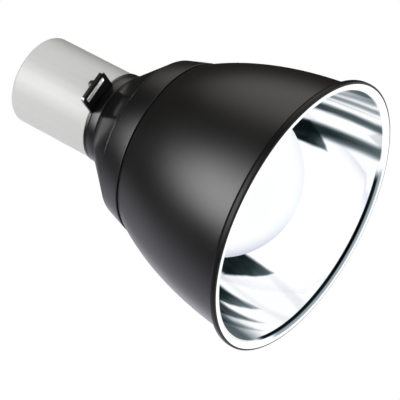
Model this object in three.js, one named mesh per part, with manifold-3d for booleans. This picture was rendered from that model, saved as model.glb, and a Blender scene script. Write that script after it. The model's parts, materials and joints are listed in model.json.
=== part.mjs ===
// A hanging grow lamp, 1 unit = 1 mm, +Z along the lamp's axis from the open rim to the back
// of the housing, with the origin at the centre of the rim's front plane.
// The lamp stands on its rim here; in use it hangs from the slotted tab or clamps by the rim.

import * as THREE from 'three';
import { mergeVertices } from 'three/addons/utils/BufferGeometryUtils.js';
import Module from 'manifold-3d';

const wasm = await Module();
wasm.setup();

// ---- driving dimensions -------------------------------------------------------------------

const SHEET = 1.0;
const GAP = 0.4;
const FINE_SIDES = 32;
const TUBE_SIDES = 28;
const THREAD_SIDES = 20;
const COARSE_SIDES = 16;
const SMALL_SIDES = 8;

const RIM_RADIUS = 107.5;
const FLANGE_RADIUS = 106.3;
const REFLECTOR_SHEET = 0.8;
const LIP_CENTRE = [104.0, 4.3];
const WALL_START_Z = 8.2;

const DOME_RADIUS = 102.1;
const DOME_CENTRE_Z = -15.1;
const DOME_SEMI_HEIGHT = 186.1;

const RING_BOTTOM_Z = 120.4;
const RING_BOTTOM_RADIUS = 71.4;
const RING_SHOULDER_Z = 139.6;
const RING_SHOULDER_RADIUS = 65.3;
const NECK_FLANGE_INNER = 51.5;
const NECK_RIVET_CIRCLE = 55.5;

const CONE_BOTTOM_Z = 142.5;
const CONE_BOTTOM_RADIUS = 63.2;
const CONE_TOP_Z = 171.5;
const CONE_TOP_RADIUS = 38.4;
const STACK_BORE = 27.8;
const STACK_SCREW_CIRCLE = 31.4;

const COLLAR_TOP_Z = 179.3;
const COLLAR_TOP_RADIUS = 36.95;

const HANGER_BOTTOM_Z = 179.6;
const HANGER_THICKNESS = 2.6;
const HANGER_AZIMUTH = 13;
const TAB_HALF_WIDTH = 13.7;
const TAB_REACH = 55.0;
const SLOT_HALF_WIDTH = 10.4;
const SLOT_INNER = 46.8;
const SLOT_OUTER = 51.4;

const TUBE_RADIUS = 35.9;
const TUBE_BOTTOM_Z = 182.5;
const TUBE_TOP_Z = 258;
const TUBE_CORNER = 3.5;

const HOUSING_SCREWS = 2;
const HOUSING_SCREW_Z = 193.4;
const HOUSING_SCREW_AZIMUTH = 23;

const PORCELAIN_RADIUS = 24;
const PORCELAIN_BOTTOM_Z = 163;
const PORCELAIN_TOP_Z = 199.6;
const BRACKET_Z = 200;

const THREAD_PITCH = 3.63;
const THREAD_MEAN_RADIUS = 12.75;
const THREAD_DEPTH = 0.42;
const THREAD_CLEARANCE = 0.55;

const GLOBE_RADIUS = 62.5;
const GLOBE_CENTRE_Z = 79;
const GLOBE_WALL = 1.2;

const CORD_RADIUS = 3.2;
const CORD_DROP_Y = 55;
const SWITCH_BOTTOM_Z = 178;
const SWITCH_TOP_Z = 238;
const SWITCH_HALF_WIDTH = 13.5;
const SWITCH_BACK_Y = 46;
const SWITCH_SPLIT_Y = 55;
const SWITCH_FRONT_Y = 64;
const ROCKER_Z = 208;
const ROCKER_PIVOT_Y = 58;
const ROCKER_REST_TILT = 7;

const COIL_CENTRE_Z = 172;
const COIL_HALF_WIDTH = 44;
const COIL_HALF_HEIGHT = 52;
const COIL_START_Y = 76;
const COIL_PITCH = 6.8;
const COIL_START_DEGREES = -40;
const COIL_END_DEGREES = 1445;
const PLUG_Y = 88.5;
const PLUG_FACE_Z = 146;
const PIN_OFFSET = 9.5;
const PIN_LENGTH = 19;

// ---- materials ----------------------------------------------------------------------------

function finish(color, roughness, metalness) {
  return new THREE.MeshStandardMaterial({ color, roughness, metalness });
}

const blackPaint = finish(0x26262a, 0.4, 0.3);
const greyPaint = finish(0xd4d4d0, 0.4, 0.1);
const mirrorAluminium = finish(0xe8eaec, 0.1, 1);
const zincSteel = finish(0xb4b6b8, 0.35, 1);
const darkScrew = finish(0x55565a, 0.4, 0.9);
const brass = finish(0xc8a860, 0.3, 1);
const nickel = finish(0xc9c8c4, 0.25, 1);
const porcelain = finish(0xf2f0ea, 0.25, 0);
const opalGlass = finish(0xf8f9ff, 0.3, 0);
const whitePlastic = finish(0xf0f0f0, 0.4, 0);
const blackGlass = finish(0x141416, 0.2, 0);
const blackPlastic = finish(0x1c1c1e, 0.5, 0);
const blackRubber = finish(0x18181a, 0.7, 0);
const circuitBoard = finish(0xe6e8e6, 0.6, 0);
const liveBrown = finish(0x6a3d20, 0.5, 0);
const neutralBlue = finish(0x2c5fa8, 0.5, 0);
const earthGreen = finish(0x5f9a2e, 0.5, 0);

// ---- geometry helpers ---------------------------------------------------------------------

const radians = THREE.MathUtils.degToRad;
const lamp = new THREE.Group();

function piece(name, geometry, material) {
  const mesh = new THREE.Mesh(geometry, material);
  mesh.name = name;
  lamp.add(mesh);
}

function signedVolume(position, index) {
  const a = new THREE.Vector3();
  const b = new THREE.Vector3();
  const c = new THREE.Vector3();
  let volume = 0;
  for (let i = 0; i < index.length; i += 3) {
    a.fromBufferAttribute(position, index[i]);
    b.fromBufferAttribute(position, index[i + 1]);
    c.fromBufferAttribute(position, index[i + 2]);
    volume += a.dot(b.cross(c)) / 6;
  }
  return volume;
}

// One closed body: shared vertices merged, slivers on the axis dropped, faces pointing out.
function welded(geometry) {
  geometry.deleteAttribute('normal');
  geometry.deleteAttribute('uv');
  const merged = mergeVertices(geometry, 1e-3);
  const index = [];
  const source = merged.index.array;
  for (let i = 0; i < source.length; i += 3) {
    const [a, b, c] = [source[i], source[i + 1], source[i + 2]];
    if (a !== b && b !== c && c !== a) index.push(a, b, c);
  }
  if (signedVolume(merged.attributes.position, index) < 0) index.reverse();
  merged.setIndex(index);
  return merged;
}

function toSolid(geometry) {
  const closed = welded(geometry.clone());
  const vertProperties = new Float32Array(closed.attributes.position.array);
  const triVerts = new Uint32Array(closed.index.array);
  return new wasm.Manifold(new wasm.Mesh({ numProp: 3, vertProperties, triVerts }));
}

function toGeometry(solid) {
  const mesh = solid.getMesh();
  const geometry = new THREE.BufferGeometry();
  geometry.setAttribute('position', new THREE.BufferAttribute(mesh.vertProperties, 3));
  geometry.setIndex(new THREE.BufferAttribute(mesh.triVerts, 1));
  return geometry;
}

function cut(geometry, tools) {
  return toGeometry(tools.reduce((solid, tool) => solid.subtract(toSolid(tool)), toSolid(geometry)));
}

function join(geometries) {
  const [first, ...rest] = geometries.map(toSolid);
  return toGeometry(rest.reduce((solid, next) => solid.add(next), first));
}

// A body of revolution about Z from [radius, z] points that close on themselves or on the axis.
function turned(profile, sides = COARSE_SIDES) {
  const points = profile.map(([radius, z]) => new THREE.Vector2(radius, z));
  const startsOffAxis = profile[0][0] > 0;
  if (startsOffAxis) points.push(points[0].clone());
  const geometry = new THREE.LatheGeometry(points, sides);
  geometry.rotateX(Math.PI / 2);
  return welded(geometry);
}

function rod(radius, bottom, top, sides = SMALL_SIDES) {
  return turned([[0, bottom], [radius, bottom], [radius, top], [0, top]], sides);
}

function arc([centreRadius, centreZ], radius, fromDegrees, toDegrees, steps) {
  const points = [];
  for (let i = 0; i <= steps; i += 1) {
    const angle = radians(fromDegrees + ((toDegrees - fromDegrees) * i) / steps);
    points.push([centreRadius + radius * Math.cos(angle), centreZ + radius * Math.sin(angle)]);
  }
  return points;
}

function block([sizeX, sizeY, sizeZ], [x, y, z]) {
  return new THREE.BoxGeometry(sizeX, sizeY, sizeZ).translate(x, y, z);
}

function plate(shape, bottom, thickness, curveSegments = 6) {
  const options = { depth: thickness, bevelEnabled: false, curveSegments };
  return new THREE.ExtrudeGeometry(shape, options).translate(0, 0, bottom);
}

function roundedRectangle(halfX, halfY, radius) {
  const shape = new THREE.Shape();
  shape.absarc(halfX - radius, halfY - radius, radius, 0, radians(90));
  shape.absarc(radius - halfX, halfY - radius, radius, radians(90), radians(180));
  shape.absarc(radius - halfX, radius - halfY, radius, radians(180), radians(270));
  shape.absarc(halfX - radius, radius - halfY, radius, radians(270), radians(360));
  return shape;
}

// A round wire or cord swept along a curve, with flat ends.
function swept(curve, radius, steps, sides = 8) {
  const shape = new THREE.Shape();
  for (let i = 0; i < sides; i += 1) {
    const angle = (2 * Math.PI * i) / sides;
    const point = [radius * Math.cos(angle), radius * Math.sin(angle)];
    if (i === 0) shape.moveTo(...point);
    else shape.lineTo(...point);
  }
  const options = { steps, bevelEnabled: false, extrudePath: curve };
  return welded(new THREE.ExtrudeGeometry(shape, options));
}

function smoothCurve(points) {
  return new THREE.CatmullRomCurve3(points.map((point) => new THREE.Vector3(...point)), false);
}

// A turned part laid along +Y instead of +Z, with its zero height at y = 0.
function alongY(geometry) {
  return geometry.rotateX(-Math.PI / 2);
}

// Copies of one fastener spread evenly about the lamp's axis.
function roundTheAxis(count, startDegrees, make) {
  for (let i = 0; i < count; i += 1) {
    make(i + 1, radians(startDegrees + (360 / count) * i));
  }
}

// ---- dome, reflector and neck -------------------------------------------------------------

function domeRadius(z) {
  const height = (z - DOME_CENTRE_Z) / DOME_SEMI_HEIGHT;
  return DOME_RADIUS * Math.sqrt(1 - height * height);
}

// Points on the dome's curve, moved inward, from a low to a high station.
function domeCurve(inset, lowZ, highZ, steps) {
  const points = [];
  for (let i = 0; i <= steps; i += 1) {
    const z = lowZ + ((highZ - lowZ) * i) / steps;
    points.push([domeRadius(z) - inset, z]);
  }
  return points;
}

function neckHoles(bottom, height) {
  const holes = [];
  roundTheAxis(3, 30, (number, angle) => {
    const hole = rod(2, bottom, bottom + height);
    holes.push(hole.translate(NECK_RIVET_CIRCLE, 0, 0).rotateZ(angle));
  });
  return holes;
}

function stackHoles(bottom, height) {
  const holes = [];
  roundTheAxis(3, 35, (number, angle) => {
    const hole = rod(1.9, bottom, bottom + height);
    holes.push(hole.translate(STACK_SCREW_CIRCLE, 0, 0).rotateZ(angle));
  });
  return holes;
}

function domeShell() {
  const underRing = 121;
  const lipClearance = LIP_CENTRE[1] - REFLECTOR_SHEET - GAP;
  const bead = [[106.7, 0.3], [RIM_RADIUS, 1.4], [RIM_RADIUS, 3.0], [106.3, 5.3], [103.6, 6.8],
    [101.7, 7.1]];
  const outside = domeCurve(0, WALL_START_Z, 120.2, 6);
  const neck = [[69.7, underRing], [63.9, 139.1], [63.1, 140.6], [NECK_FLANGE_INNER, 140.6],
    [NECK_FLANGE_INNER, 139.6], [62.4, 139.6], [62.9, 139.0], [68.6, underRing]];
  const inside = domeCurve(SHEET, WALL_START_Z + 1, 119.6, 6).reverse();
  const lip = arc(LIP_CENTRE, lipClearance, 180, 270, 2);
  const profile = [...bead, ...outside, ...neck, ...inside, ...lip, [106.7, 1.2]];
  return cut(turned(profile, FINE_SIDES), neckHoles(139, 3));
}

function reflector() {
  const back = SHEET + GAP;
  const front = back + REFLECTOR_SHEET;
  const lipFront = arc(LIP_CENTRE, LIP_CENTRE[1], 270, 180, 3);
  const lipBack = arc(LIP_CENTRE, LIP_CENTRE[1] - REFLECTOR_SHEET, 180, 270, 3);
  const mouth = [[60.5, 125.5], [50, 132.3], [38, 136]];
  const mouthBack = [[38, 136.9], [50.4, 133.2], [61.2, 126.2]];
  const profile = [[FLANGE_RADIUS, 0], ...lipFront, ...domeCurve(front, WALL_START_Z, 113, 6),
    ...mouth, ...mouthBack, ...domeCurve(back, WALL_START_Z, 113, 6).reverse(), ...lipBack,
    [FLANGE_RADIUS, REFLECTOR_SHEET]];
  return turned(profile, FINE_SIDES);
}

function ventRing() {
  const profile = [[RING_BOTTOM_RADIUS, RING_BOTTOM_Z], [RING_SHOULDER_RADIUS, RING_SHOULDER_Z],
    [64.9, 141.0], [64.2, 141.9], [63.2, 142.2], [NECK_FLANGE_INNER, 142.2],
    [NECK_FLANGE_INNER, 141.0], [62.8, 141.0], [63.8, 140.6], [64.3, RING_SHOULDER_Z],
    [RING_BOTTOM_RADIUS - SHEET, RING_BOTTOM_Z]];
  return cut(turned(profile, FINE_SIDES), neckHoles(140, 3));
}

function neckCone() {
  const slope = (CONE_TOP_RADIUS - CONE_BOTTOM_RADIUS) / (CONE_TOP_Z - CONE_BOTTOM_Z);
  const wall = SHEET * Math.hypot(1, slope);
  const insideAt = (z) => [CONE_BOTTOM_RADIUS + slope * (z - CONE_BOTTOM_Z) - wall, z];
  const flangeTop = CONE_BOTTOM_Z + SHEET;
  const flangeBottom = CONE_TOP_Z - SHEET;
  const profile = [[NECK_FLANGE_INNER, CONE_BOTTOM_Z], [CONE_BOTTOM_RADIUS, CONE_BOTTOM_Z],
    [CONE_TOP_RADIUS, CONE_TOP_Z], [STACK_BORE, CONE_TOP_Z], [STACK_BORE, flangeBottom],
    insideAt(flangeBottom), insideAt(flangeTop), [NECK_FLANGE_INNER, flangeTop]];
  return cut(turned(profile, FINE_SIDES), [...neckHoles(141.5, 3), ...stackHoles(169.5, 3)]);
}

function collar() {
  const bottom = CONE_TOP_Z + 0.3;
  const profile = [[STACK_BORE, bottom], [38.0, bottom], [COLLAR_TOP_RADIUS, COLLAR_TOP_Z],
    [STACK_BORE, COLLAR_TOP_Z]];
  return cut(turned(profile, FINE_SIDES), stackHoles(bottom - 1, 10));
}

function neckRivet(angle) {
  const profile = [[0, 137.7], [1.8, 137.7], [2.9, 138.6], [2.9, 139.2], [1.6, 139.2], [1.6, 143.9],
    [2.9, 143.9], [2.9, 144.5], [1.8, 145.4], [0, 145.4]];
  return turned(profile, SMALL_SIDES).translate(NECK_RIVET_CIRCLE, 0, 0).rotateZ(angle);
}

// ---- hanger ring and the screws that clamp the neck stack ---------------------------------

function hangerRing() {
  const ring = turned([[STACK_BORE, HANGER_BOTTOM_Z], [36.8, HANGER_BOTTOM_Z],
    [36.8, HANGER_BOTTOM_Z + HANGER_THICKNESS], [STACK_BORE, HANGER_BOTTOM_Z + HANGER_THICKNESS]],
  FINE_SIDES);
  const root = 32;
  const corner = 2.6;
  const tab = new THREE.Shape();
  tab.moveTo(-TAB_HALF_WIDTH, -root);
  tab.lineTo(-TAB_HALF_WIDTH, corner - TAB_REACH);
  tab.lineTo(corner - TAB_HALF_WIDTH, -TAB_REACH);
  tab.lineTo(TAB_HALF_WIDTH - corner, -TAB_REACH);
  tab.lineTo(TAB_HALF_WIDTH, corner - TAB_REACH);
  tab.lineTo(TAB_HALF_WIDTH, -root);
  const slotLength = SLOT_OUTER - SLOT_INNER;
  const slot = roundedRectangle(SLOT_HALF_WIDTH, slotLength / 2, 0.8);
  const slotTool = plate(slot, HANGER_BOTTOM_Z - 1, HANGER_THICKNESS + 2, 2);
  slotTool.translate(0, -(SLOT_OUTER + SLOT_INNER) / 2, 0);
  const bore = rod(STACK_BORE, HANGER_BOTTOM_Z - 1, HANGER_BOTTOM_Z + 4, FINE_SIDES);
  const tabPlate = plate(tab, HANGER_BOTTOM_Z, HANGER_THICKNESS);
  const slottedTab = cut(tabPlate, [slotTool, bore]).rotateZ(radians(HANGER_AZIMUTH));
  return cut(join([ring, slottedTab]), stackHoles(HANGER_BOTTOM_Z - 1, 5));
}

function stackScrew(angle) {
  const profile = [[0, 167.6], [2.4, 167.6], [2.7, 168.0], [2.7, 170.1], [1.5, 170.1],
    [1.5, 187.4], [0, 187.4]];
  return turned(profile, SMALL_SIDES).translate(STACK_SCREW_CIRCLE, 0, 0).rotateZ(angle);
}

function stackNut(angle) {
  const nut = turned([[1.8, 183.9], [3.1, 183.9], [3.1, 186.3], [1.8, 186.3]], 6);
  return nut.translate(STACK_SCREW_CIRCLE, 0, 0).rotateZ(angle);
}

// ---- socket housing -----------------------------------------------------------------------

function ventSlot(angle) {
  const shape = new THREE.Shape();
  shape.absarc(0, 0, 24, radians(-18), radians(18));
  shape.absarc(0, 0, 19, radians(18), radians(-18), true);
  return plate(shape, TUBE_TOP_Z - 3, 6, 3).rotateZ(angle);
}

function socketHousing() {
  const flangeTop = TUBE_BOTTOM_Z + SHEET;
  const inner = TUBE_RADIUS - SHEET;
  const cornerCentre = [TUBE_RADIUS - TUBE_CORNER, TUBE_TOP_Z - TUBE_CORNER];
  const profile = [[STACK_BORE, TUBE_BOTTOM_Z], [36.3, TUBE_BOTTOM_Z], [36.3, 184.1],
    [TUBE_RADIUS, 184.6], ...arc(cornerCentre, TUBE_CORNER, 0, 90, 3), [5.3, TUBE_TOP_Z],
    [5.3, TUBE_TOP_Z - SHEET], ...arc(cornerCentre, TUBE_CORNER - SHEET, 90, 0, 2),
    [inner, flangeTop], [STACK_BORE, flangeTop]];
  const holes = stackHoles(TUBE_BOTTOM_Z - 1, 4);
  roundTheAxis(HOUSING_SCREWS, HOUSING_SCREW_AZIMUTH, (number, angle) => {
    holes.push(alongY(rod(1.9, -38, -33)).translate(0, 0, HOUSING_SCREW_Z).rotateZ(angle));
  });
  roundTheAxis(6, 0, (number, angle) => holes.push(ventSlot(angle)));
  return cut(turned(profile, TUBE_SIDES), holes);
}

// A pan-head screw driven inward through the tube wall, head outermost.
function housingScrew(angle) {
  const profile = [[0, -38.4], [1.9, -38.4], [2.8, -37.9], [3.2, -37.0], [3.2, -36.2], [1.5, -36.2],
    [1.5, -30.5], [0, -30.5]];
  return alongY(turned(profile, SMALL_SIDES)).translate(0, 0, HOUSING_SCREW_Z).rotateZ(angle);
}

// ---- lampholder ---------------------------------------------------------------------------

const NEUTRAL_RIVET_X = 11.9;
const HOLDER_SCREW_Y = 19.8;
const EARTH_SCREW = [-11.3, 26.5];

// A tube whose inner or outer wall carries a rounded right-hand thread.
function threadedTube(bottom, top, threadRadius, smoothRadius, capProfile) {
  const rowsPerTurn = 4;
  const rows = Math.round(((top - bottom) / THREAD_PITCH) * rowsPerTurn);
  const wall = [];
  for (let i = 0; i <= rows; i += 1) wall.push([threadRadius, bottom + ((top - bottom) * i) / rows]);
  const geometry = turned([...wall, ...capProfile, [smoothRadius, bottom]], THREAD_SIDES);
  const position = geometry.attributes.position;
  for (let i = 0; i < position.count; i += 1) {
    const [x, y, z] = [position.getX(i), position.getY(i), position.getZ(i)];
    const radius = Math.hypot(x, y);
    if (Math.abs(radius - threadRadius) > 0.01 || z < bottom + 0.1 || z > top - 0.1) continue;
    const wave = Math.cos((2 * Math.PI * z) / THREAD_PITCH - Math.atan2(y, x));
    const scale = (radius + THREAD_DEPTH * wave) / radius;
    position.setXYZ(i, x * scale, y * scale, z);
  }
  return geometry;
}

function lampholderBody() {
  const cavity = 14.8;
  const ceiling = 193.2;
  const profile = [[cavity, PORCELAIN_BOTTOM_Z], [22.5, PORCELAIN_BOTTOM_Z], [PORCELAIN_RADIUS, 164.5],
    [PORCELAIN_RADIUS, PORCELAIN_TOP_Z], [2.5, PORCELAIN_TOP_Z], [2.5, ceiling], [cavity, ceiling]];
  const holes = [rod(2, 192, 201).translate(NEUTRAL_RIVET_X, 0, 0)];
  for (const side of [-1, 1]) {
    holes.push(rod(1.9, 186.5, 201).translate(0, side * HOLDER_SCREW_Y, 0));
  }
  return cut(turned(profile, 24), holes);
}

function lampholderShell() {
  const bottom = 166.3;
  const top = 190.2;
  const outer = 14.4;
  const crown = [[13.6, 190.6], [13.6, 192.1], [8.8, 192.1], [8.8, 192.8], [outer, 192.8]];
  const radius = THREAD_MEAN_RADIUS + THREAD_CLEARANCE;
  const shell = threadedTube(bottom, top, radius, outer, crown);
  return cut(shell, [rod(1.9, 191, 194).translate(NEUTRAL_RIVET_X, 0, 0)]);
}

function centreContact() {
  return turned([[0, 191.8], [4.2, 191.8], [4.6, 192.8], [2.1, 192.8], [2.1, 203.6], [0, 203.6]], 16);
}

function neutralRivet() {
  const rivet = turned([[0, 190.9], [1.6, 190.9], [1.6, 203.6], [0, 203.6]]);
  return rivet.translate(NEUTRAL_RIVET_X, 0, 0);
}

function socketBracket() {
  const thickness = 1.4;
  const armReach = 34.4;
  const armHalfWidth = 6;
  const tabBottom = 188.5;
  const hub = turned([[16.5, BRACKET_Z], [26, BRACKET_Z], [26, BRACKET_Z + thickness],
    [16.5, BRACKET_Z + thickness]], 24);
  const holes = [rod(2.2, 199, 203).translate(...EARTH_SCREW, 0)];
  for (const side of [-1, 1]) {
    holes.push(rod(2.2, 199, 203).translate(0, side * HOLDER_SCREW_Y, 0));
  }
  const arms = [];
  roundTheAxis(HOUSING_SCREWS, HOUSING_SCREW_AZIMUTH, (number, angle) => {
    const armLength = armReach - 24;
    const arm = block([2 * armHalfWidth, armLength, thickness],
      [0, armLength / 2 - armReach + 0.6, BRACKET_Z + thickness / 2]);
    const height = BRACKET_Z + thickness - tabBottom;
    const tab = block([2 * armHalfWidth, thickness, height],
      [0, thickness / 2 + 0.9 - armReach, tabBottom + height / 2]);
    arms.push(join([arm, tab]).rotateZ(angle));
    holes.push(alongY(rod(1.9, -36, -31)).translate(0, 0, HOUSING_SCREW_Z).rotateZ(angle));
  });
  return cut(join([hub, ...arms]), holes);
}

function holderScrew(side) {
  const profile = [[0, 187.5], [1.5, 187.5], [1.5, 201.7], [3.4, 201.7], [3.4, 203.2], [2.4, 204.2],
    [0, 204.2]];
  return turned(profile, SMALL_SIDES).translate(0, side * HOLDER_SCREW_Y, 0);
}

function terminal(x) {
  return block([7, 7, 8], [x, 0, 208]);
}

function earthScrew() {
  const profile = [[0, 196.5], [1.7, 196.5], [1.7, 201.8], [3.6, 201.8], [3.6, 203.6], [2.6, 204.6],
    [0, 204.6]];
  return turned(profile, SMALL_SIDES).translate(...EARTH_SCREW, 0);
}

// ---- bulb ---------------------------------------------------------------------------------

function bulbGlobe() {
  const neckAngle = 55;
  const centre = [0, GLOBE_CENTRE_Z];
  const outer = arc(centre, GLOBE_RADIUS, -90, neckAngle, 10);
  const inner = arc(centre, GLOBE_RADIUS - GLOBE_WALL, neckAngle, -90, 10);
  outer[0][0] = 0;
  inner[inner.length - 1][0] = 0;
  const neck = [[30.9, 134.2], [28.0, 138.2], [26.7, 142.2], [25.5, 142.2], [26.8, 137.8], [29.9, 133.4]];
  return turned([...outer, ...neck, ...inner], 24);
}

function bulbHousing() {
  const profile = [[25.2, 142.6], [26.7, 142.6], [25.4, 148], [21.8, 154.5], [17.4, 159.6],
    [13.3, 163.2], [13.1, 163.7], [11.5, 163.7], [11.5, 169], [10.2, 169], [10.2, 162.6],
    [15.8, 158.4], [20.2, 153.6], [23.8, 147.5], [25.2, 144.8]];
  return turned(profile, 24);
}

function ledBoard() {
  const parts = [rod(24.6, 143, 144.4, 24)];
  roundTheAxis(8, 0, (number, angle) => {
    parts.push(block([3.5, 3.5, 0.9], [15, 0, 142.8]).rotateZ(angle));
  });
  return join(parts);
}

function driverBoard() {
  const board = block([20, 1.6, 13], [0, 0, 152.2]);
  const transformer = block([10, 6, 7], [1, 3, 151]);
  const capacitor = block([6, 5, 8], [-3, -3, 152]);
  return join([board, transformer, capacitor]);
}

function bulbScrewShell() {
  const bottom = 164.1;
  const top = 185.4;
  const inner = 12.0;
  const crown = [[12.3, 186.3], [10.4, 187.7], [8.6, 187.7], [8.6, 187.1], [10.0, 187.1], [inner, 185.4]];
  return threadedTube(bottom, top, THREAD_MEAN_RADIUS, inner, crown);
}

function bulbInsulator() {
  return turned([[2.3, 186.2], [8.2, 186.2], [8.2, 188.2], [5.4, 190.0], [2.3, 190.0]]);
}

function bulbTipContact() {
  return turned([[0, 184], [1.8, 184], [1.8, 190.3], [4.6, 190.3], [4.6, 190.8], [3.4, 191.5],
    [0, 191.5]], 16);
}

// ---- mains cord, switch and plug ----------------------------------------------------------

function cordGrommet() {
  const bore = CORD_RADIUS + GAP;
  return turned([[bore, 252.5], [6.2, 252.5], [6.8, 256.6], [4.9, 256.6], [4.9, 258.4], [8.5, 258.4],
    [8.5, 260.2], [6.2, 261.2], [5.0, 264.2], [bore, 264.2]]);
}

function cordToSwitch() {
  const riseTop = 262;
  const firstBend = 14;
  const secondBend = 20;
  const ridgeZ = riseTop + firstBend;
  const points = [[0, 0, 249], [0, 0, 256], [0, 0, riseTop]];
  for (const degrees of [30, 60, 90]) {
    const turn = radians(degrees);
    points.push([0, firstBend * (1 - Math.cos(turn)), riseTop + firstBend * Math.sin(turn)]);
  }
  for (const degrees of [0, 30, 60, 90]) {
    const turn = radians(degrees);
    const y = CORD_DROP_Y - secondBend + secondBend * Math.sin(turn);
    points.push([0, y, ridgeZ - secondBend * (1 - Math.cos(turn))]);
  }
  points.push([0, CORD_DROP_Y, 245], [0, CORD_DROP_Y, SWITCH_TOP_Z - 8]);
  return swept(smoothCurve(points), CORD_RADIUS, 26, 6);
}

// The cord is coiled for packing in an oval behind the neck, its turns side by side along +Y.
// 0 degrees is the coil's side at -X, 90 its top and 270 its bottom.
function coilY(degrees) {
  return COIL_START_Y + (COIL_PITCH * (degrees - COIL_START_DEGREES)) / 360;
}

function coilPoint(degrees) {
  const turn = radians(degrees);
  const x = -COIL_HALF_WIDTH * Math.cos(turn);
  const z = COIL_CENTRE_Z + COIL_HALF_HEIGHT * Math.sin(turn);
  return [x, coilY(degrees), z];
}

function cordToPlug() {
  const points = [[0, CORD_DROP_Y, SWITCH_BOTTOM_Z + 8], [0, CORD_DROP_Y, SWITCH_BOTTOM_Z + 3],
    [0, CORD_DROP_Y, SWITCH_BOTTOM_Z - 6], [0, 56.5, 165], [-0.8, 59.5, 157], [-2.5, 63.5, 149],
    [-6, 69, 141.5], [-13, 73, 134.5], [-22, 75.6, 131.2], [-29, 76, 133.8]];
  const step = 22.5;
  for (let degrees = COIL_START_DEGREES; degrees <= COIL_END_DEGREES; degrees += step) {
    points.push(coilPoint(degrees));
  }
  points.push([-37.5, 104, 193], [-28, 102.5, 203], [-16, 98, 208], [-6.5, 92.3, 207],
    [-0.8, 88.8, 200.5], [0, PLUG_Y, 193.5], [0, PLUG_Y, 187], [0, PLUG_Y, 180]);
  return swept(smoothCurve(points), CORD_RADIUS, 120, 6);
}

// A flat band round all the turns at the bottom of the coil.
function cordTie() {
  const firstPass = coilY(270);
  const lastPass = firstPass + 3 * COIL_PITCH;
  const middle = (firstPass + lastPass) / 2;
  const clearance = 0.6;
  const halfLength = (lastPass - firstPass) / 2 + CORD_RADIUS + clearance;
  const halfHeight = CORD_RADIUS + clearance;
  const band = 1.0;
  const outer = roundedRectangle(halfLength + band, halfHeight + band, 4);
  outer.holes.push(roundedRectangle(halfLength, halfHeight, 3.2));
  const width = 7;
  const loop = plate(outer, -width / 2, width, 4);
  loop.rotateZ(Math.PI / 2).rotateY(Math.PI / 2);
  return welded(loop.translate(0, middle, COIL_CENTRE_Z - COIL_HALF_HEIGHT));
}

const SWITCH_SCREWS = [[8.8, 186.5], [-8.8, 229.5]];
const SWITCH_WALL = 1.6;

// A rounded tray of the switch housing, closed on the outer side and open at the split.
function switchShell(outerY, splitY) {
  const centreZ = (SWITCH_BOTTOM_Z + SWITCH_TOP_Z) / 2;
  const halfHeight = (SWITCH_TOP_Z - SWITCH_BOTTOM_Z) / 2;
  const depth = Math.abs(splitY - outerY);
  const outward = Math.sign(outerY - splitY);
  const lay = (shape, nearY, thickness) => plate(shape, 0, thickness, 3)
    .rotateX(Math.PI / 2)
    .translate(0, nearY + thickness / 2 + (outward * thickness) / 2, centreZ);
  const outer = lay(roundedRectangle(SWITCH_HALF_WIDTH, halfHeight, 7), splitY, depth);
  const hollow = roundedRectangle(SWITCH_HALF_WIDTH - SWITCH_WALL, halfHeight - SWITCH_WALL, 5.4);
  const inner = lay(hollow, splitY - outward, depth + 1 - SWITCH_WALL);
  const cordHole = rod(CORD_RADIUS + GAP, SWITCH_BOTTOM_Z - 1, SWITCH_TOP_Z + 1);
  return { outer, tools: [inner, cordHole.translate(0, CORD_DROP_Y, 0)] };
}

function screwBoss([x, z], fromY, toY) {
  return alongY(rod(3.2, fromY, toY)).translate(x, 0, z);
}

function switchBase() {
  const split = SWITCH_SPLIT_Y - 0.15;
  const { outer, tools } = switchShell(SWITCH_BACK_Y, split);
  const bosses = SWITCH_SCREWS.map((place) => screwBoss(place, SWITCH_BACK_Y + 0.8, split));
  const bores = SWITCH_SCREWS.map(([x, z]) => join([
    alongY(rod(1.7, SWITCH_BACK_Y - 1, split + 1)).translate(x, 0, z),
    alongY(rod(2.6, SWITCH_BACK_Y - 1, SWITCH_BACK_Y + 2)).translate(x, 0, z),
  ]));
  return cut(join([cut(outer, tools), ...bosses]), bores);
}

function switchCover() {
  const split = SWITCH_SPLIT_Y + 0.15;
  const { outer, tools } = switchShell(SWITCH_FRONT_Y, split);
  const bosses = SWITCH_SCREWS.map((place) => screwBoss(place, split, SWITCH_FRONT_Y - 0.8));
  const cheeks = [-1, 1].map((side) => block([2, 8, 10], [side * 7.6, 59, ROCKER_Z]));
  const bores = SWITCH_SCREWS.map(([x, z]) => (
    alongY(rod(1.6, split - 1, SWITCH_FRONT_Y - 2.4)).translate(x, 0, z)
  ));
  const window = block([13, 6, 23], [0, SWITCH_FRONT_Y - 1, ROCKER_Z]);
  const pinBore = rod(1.5, -9, 9).rotateY(Math.PI / 2).translate(0, ROCKER_PIVOT_Y, ROCKER_Z);
  return cut(join([cut(outer, tools), ...bosses, ...cheeks]), [...bores, window, pinBore]);
}

function switchRocker() {
  const halfWidth = 6.1;
  const shape = new THREE.Shape();
  shape.moveTo(-2.2, -2.4);
  shape.lineTo(2.2, -2.4);
  shape.lineTo(10.6, 2.6);
  shape.lineTo(10.6, 6.6);
  shape.lineTo(0, 5.6);
  shape.lineTo(-10.6, 6.6);
  shape.lineTo(-10.6, 2.6);
  const body = plate(shape, -halfWidth, 2 * halfWidth);
  const bored = cut(body, [rod(1.6, -halfWidth - 1, halfWidth + 1)]);
  bored.rotateY(Math.PI / 2).rotateX(radians(-ROCKER_REST_TILT));
  return bored.translate(0, ROCKER_PIVOT_Y, ROCKER_Z);
}

function rockerPin() {
  return rod(1.2, -8.4, 8.4).rotateY(Math.PI / 2).translate(0, ROCKER_PIVOT_Y, ROCKER_Z);
}

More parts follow.
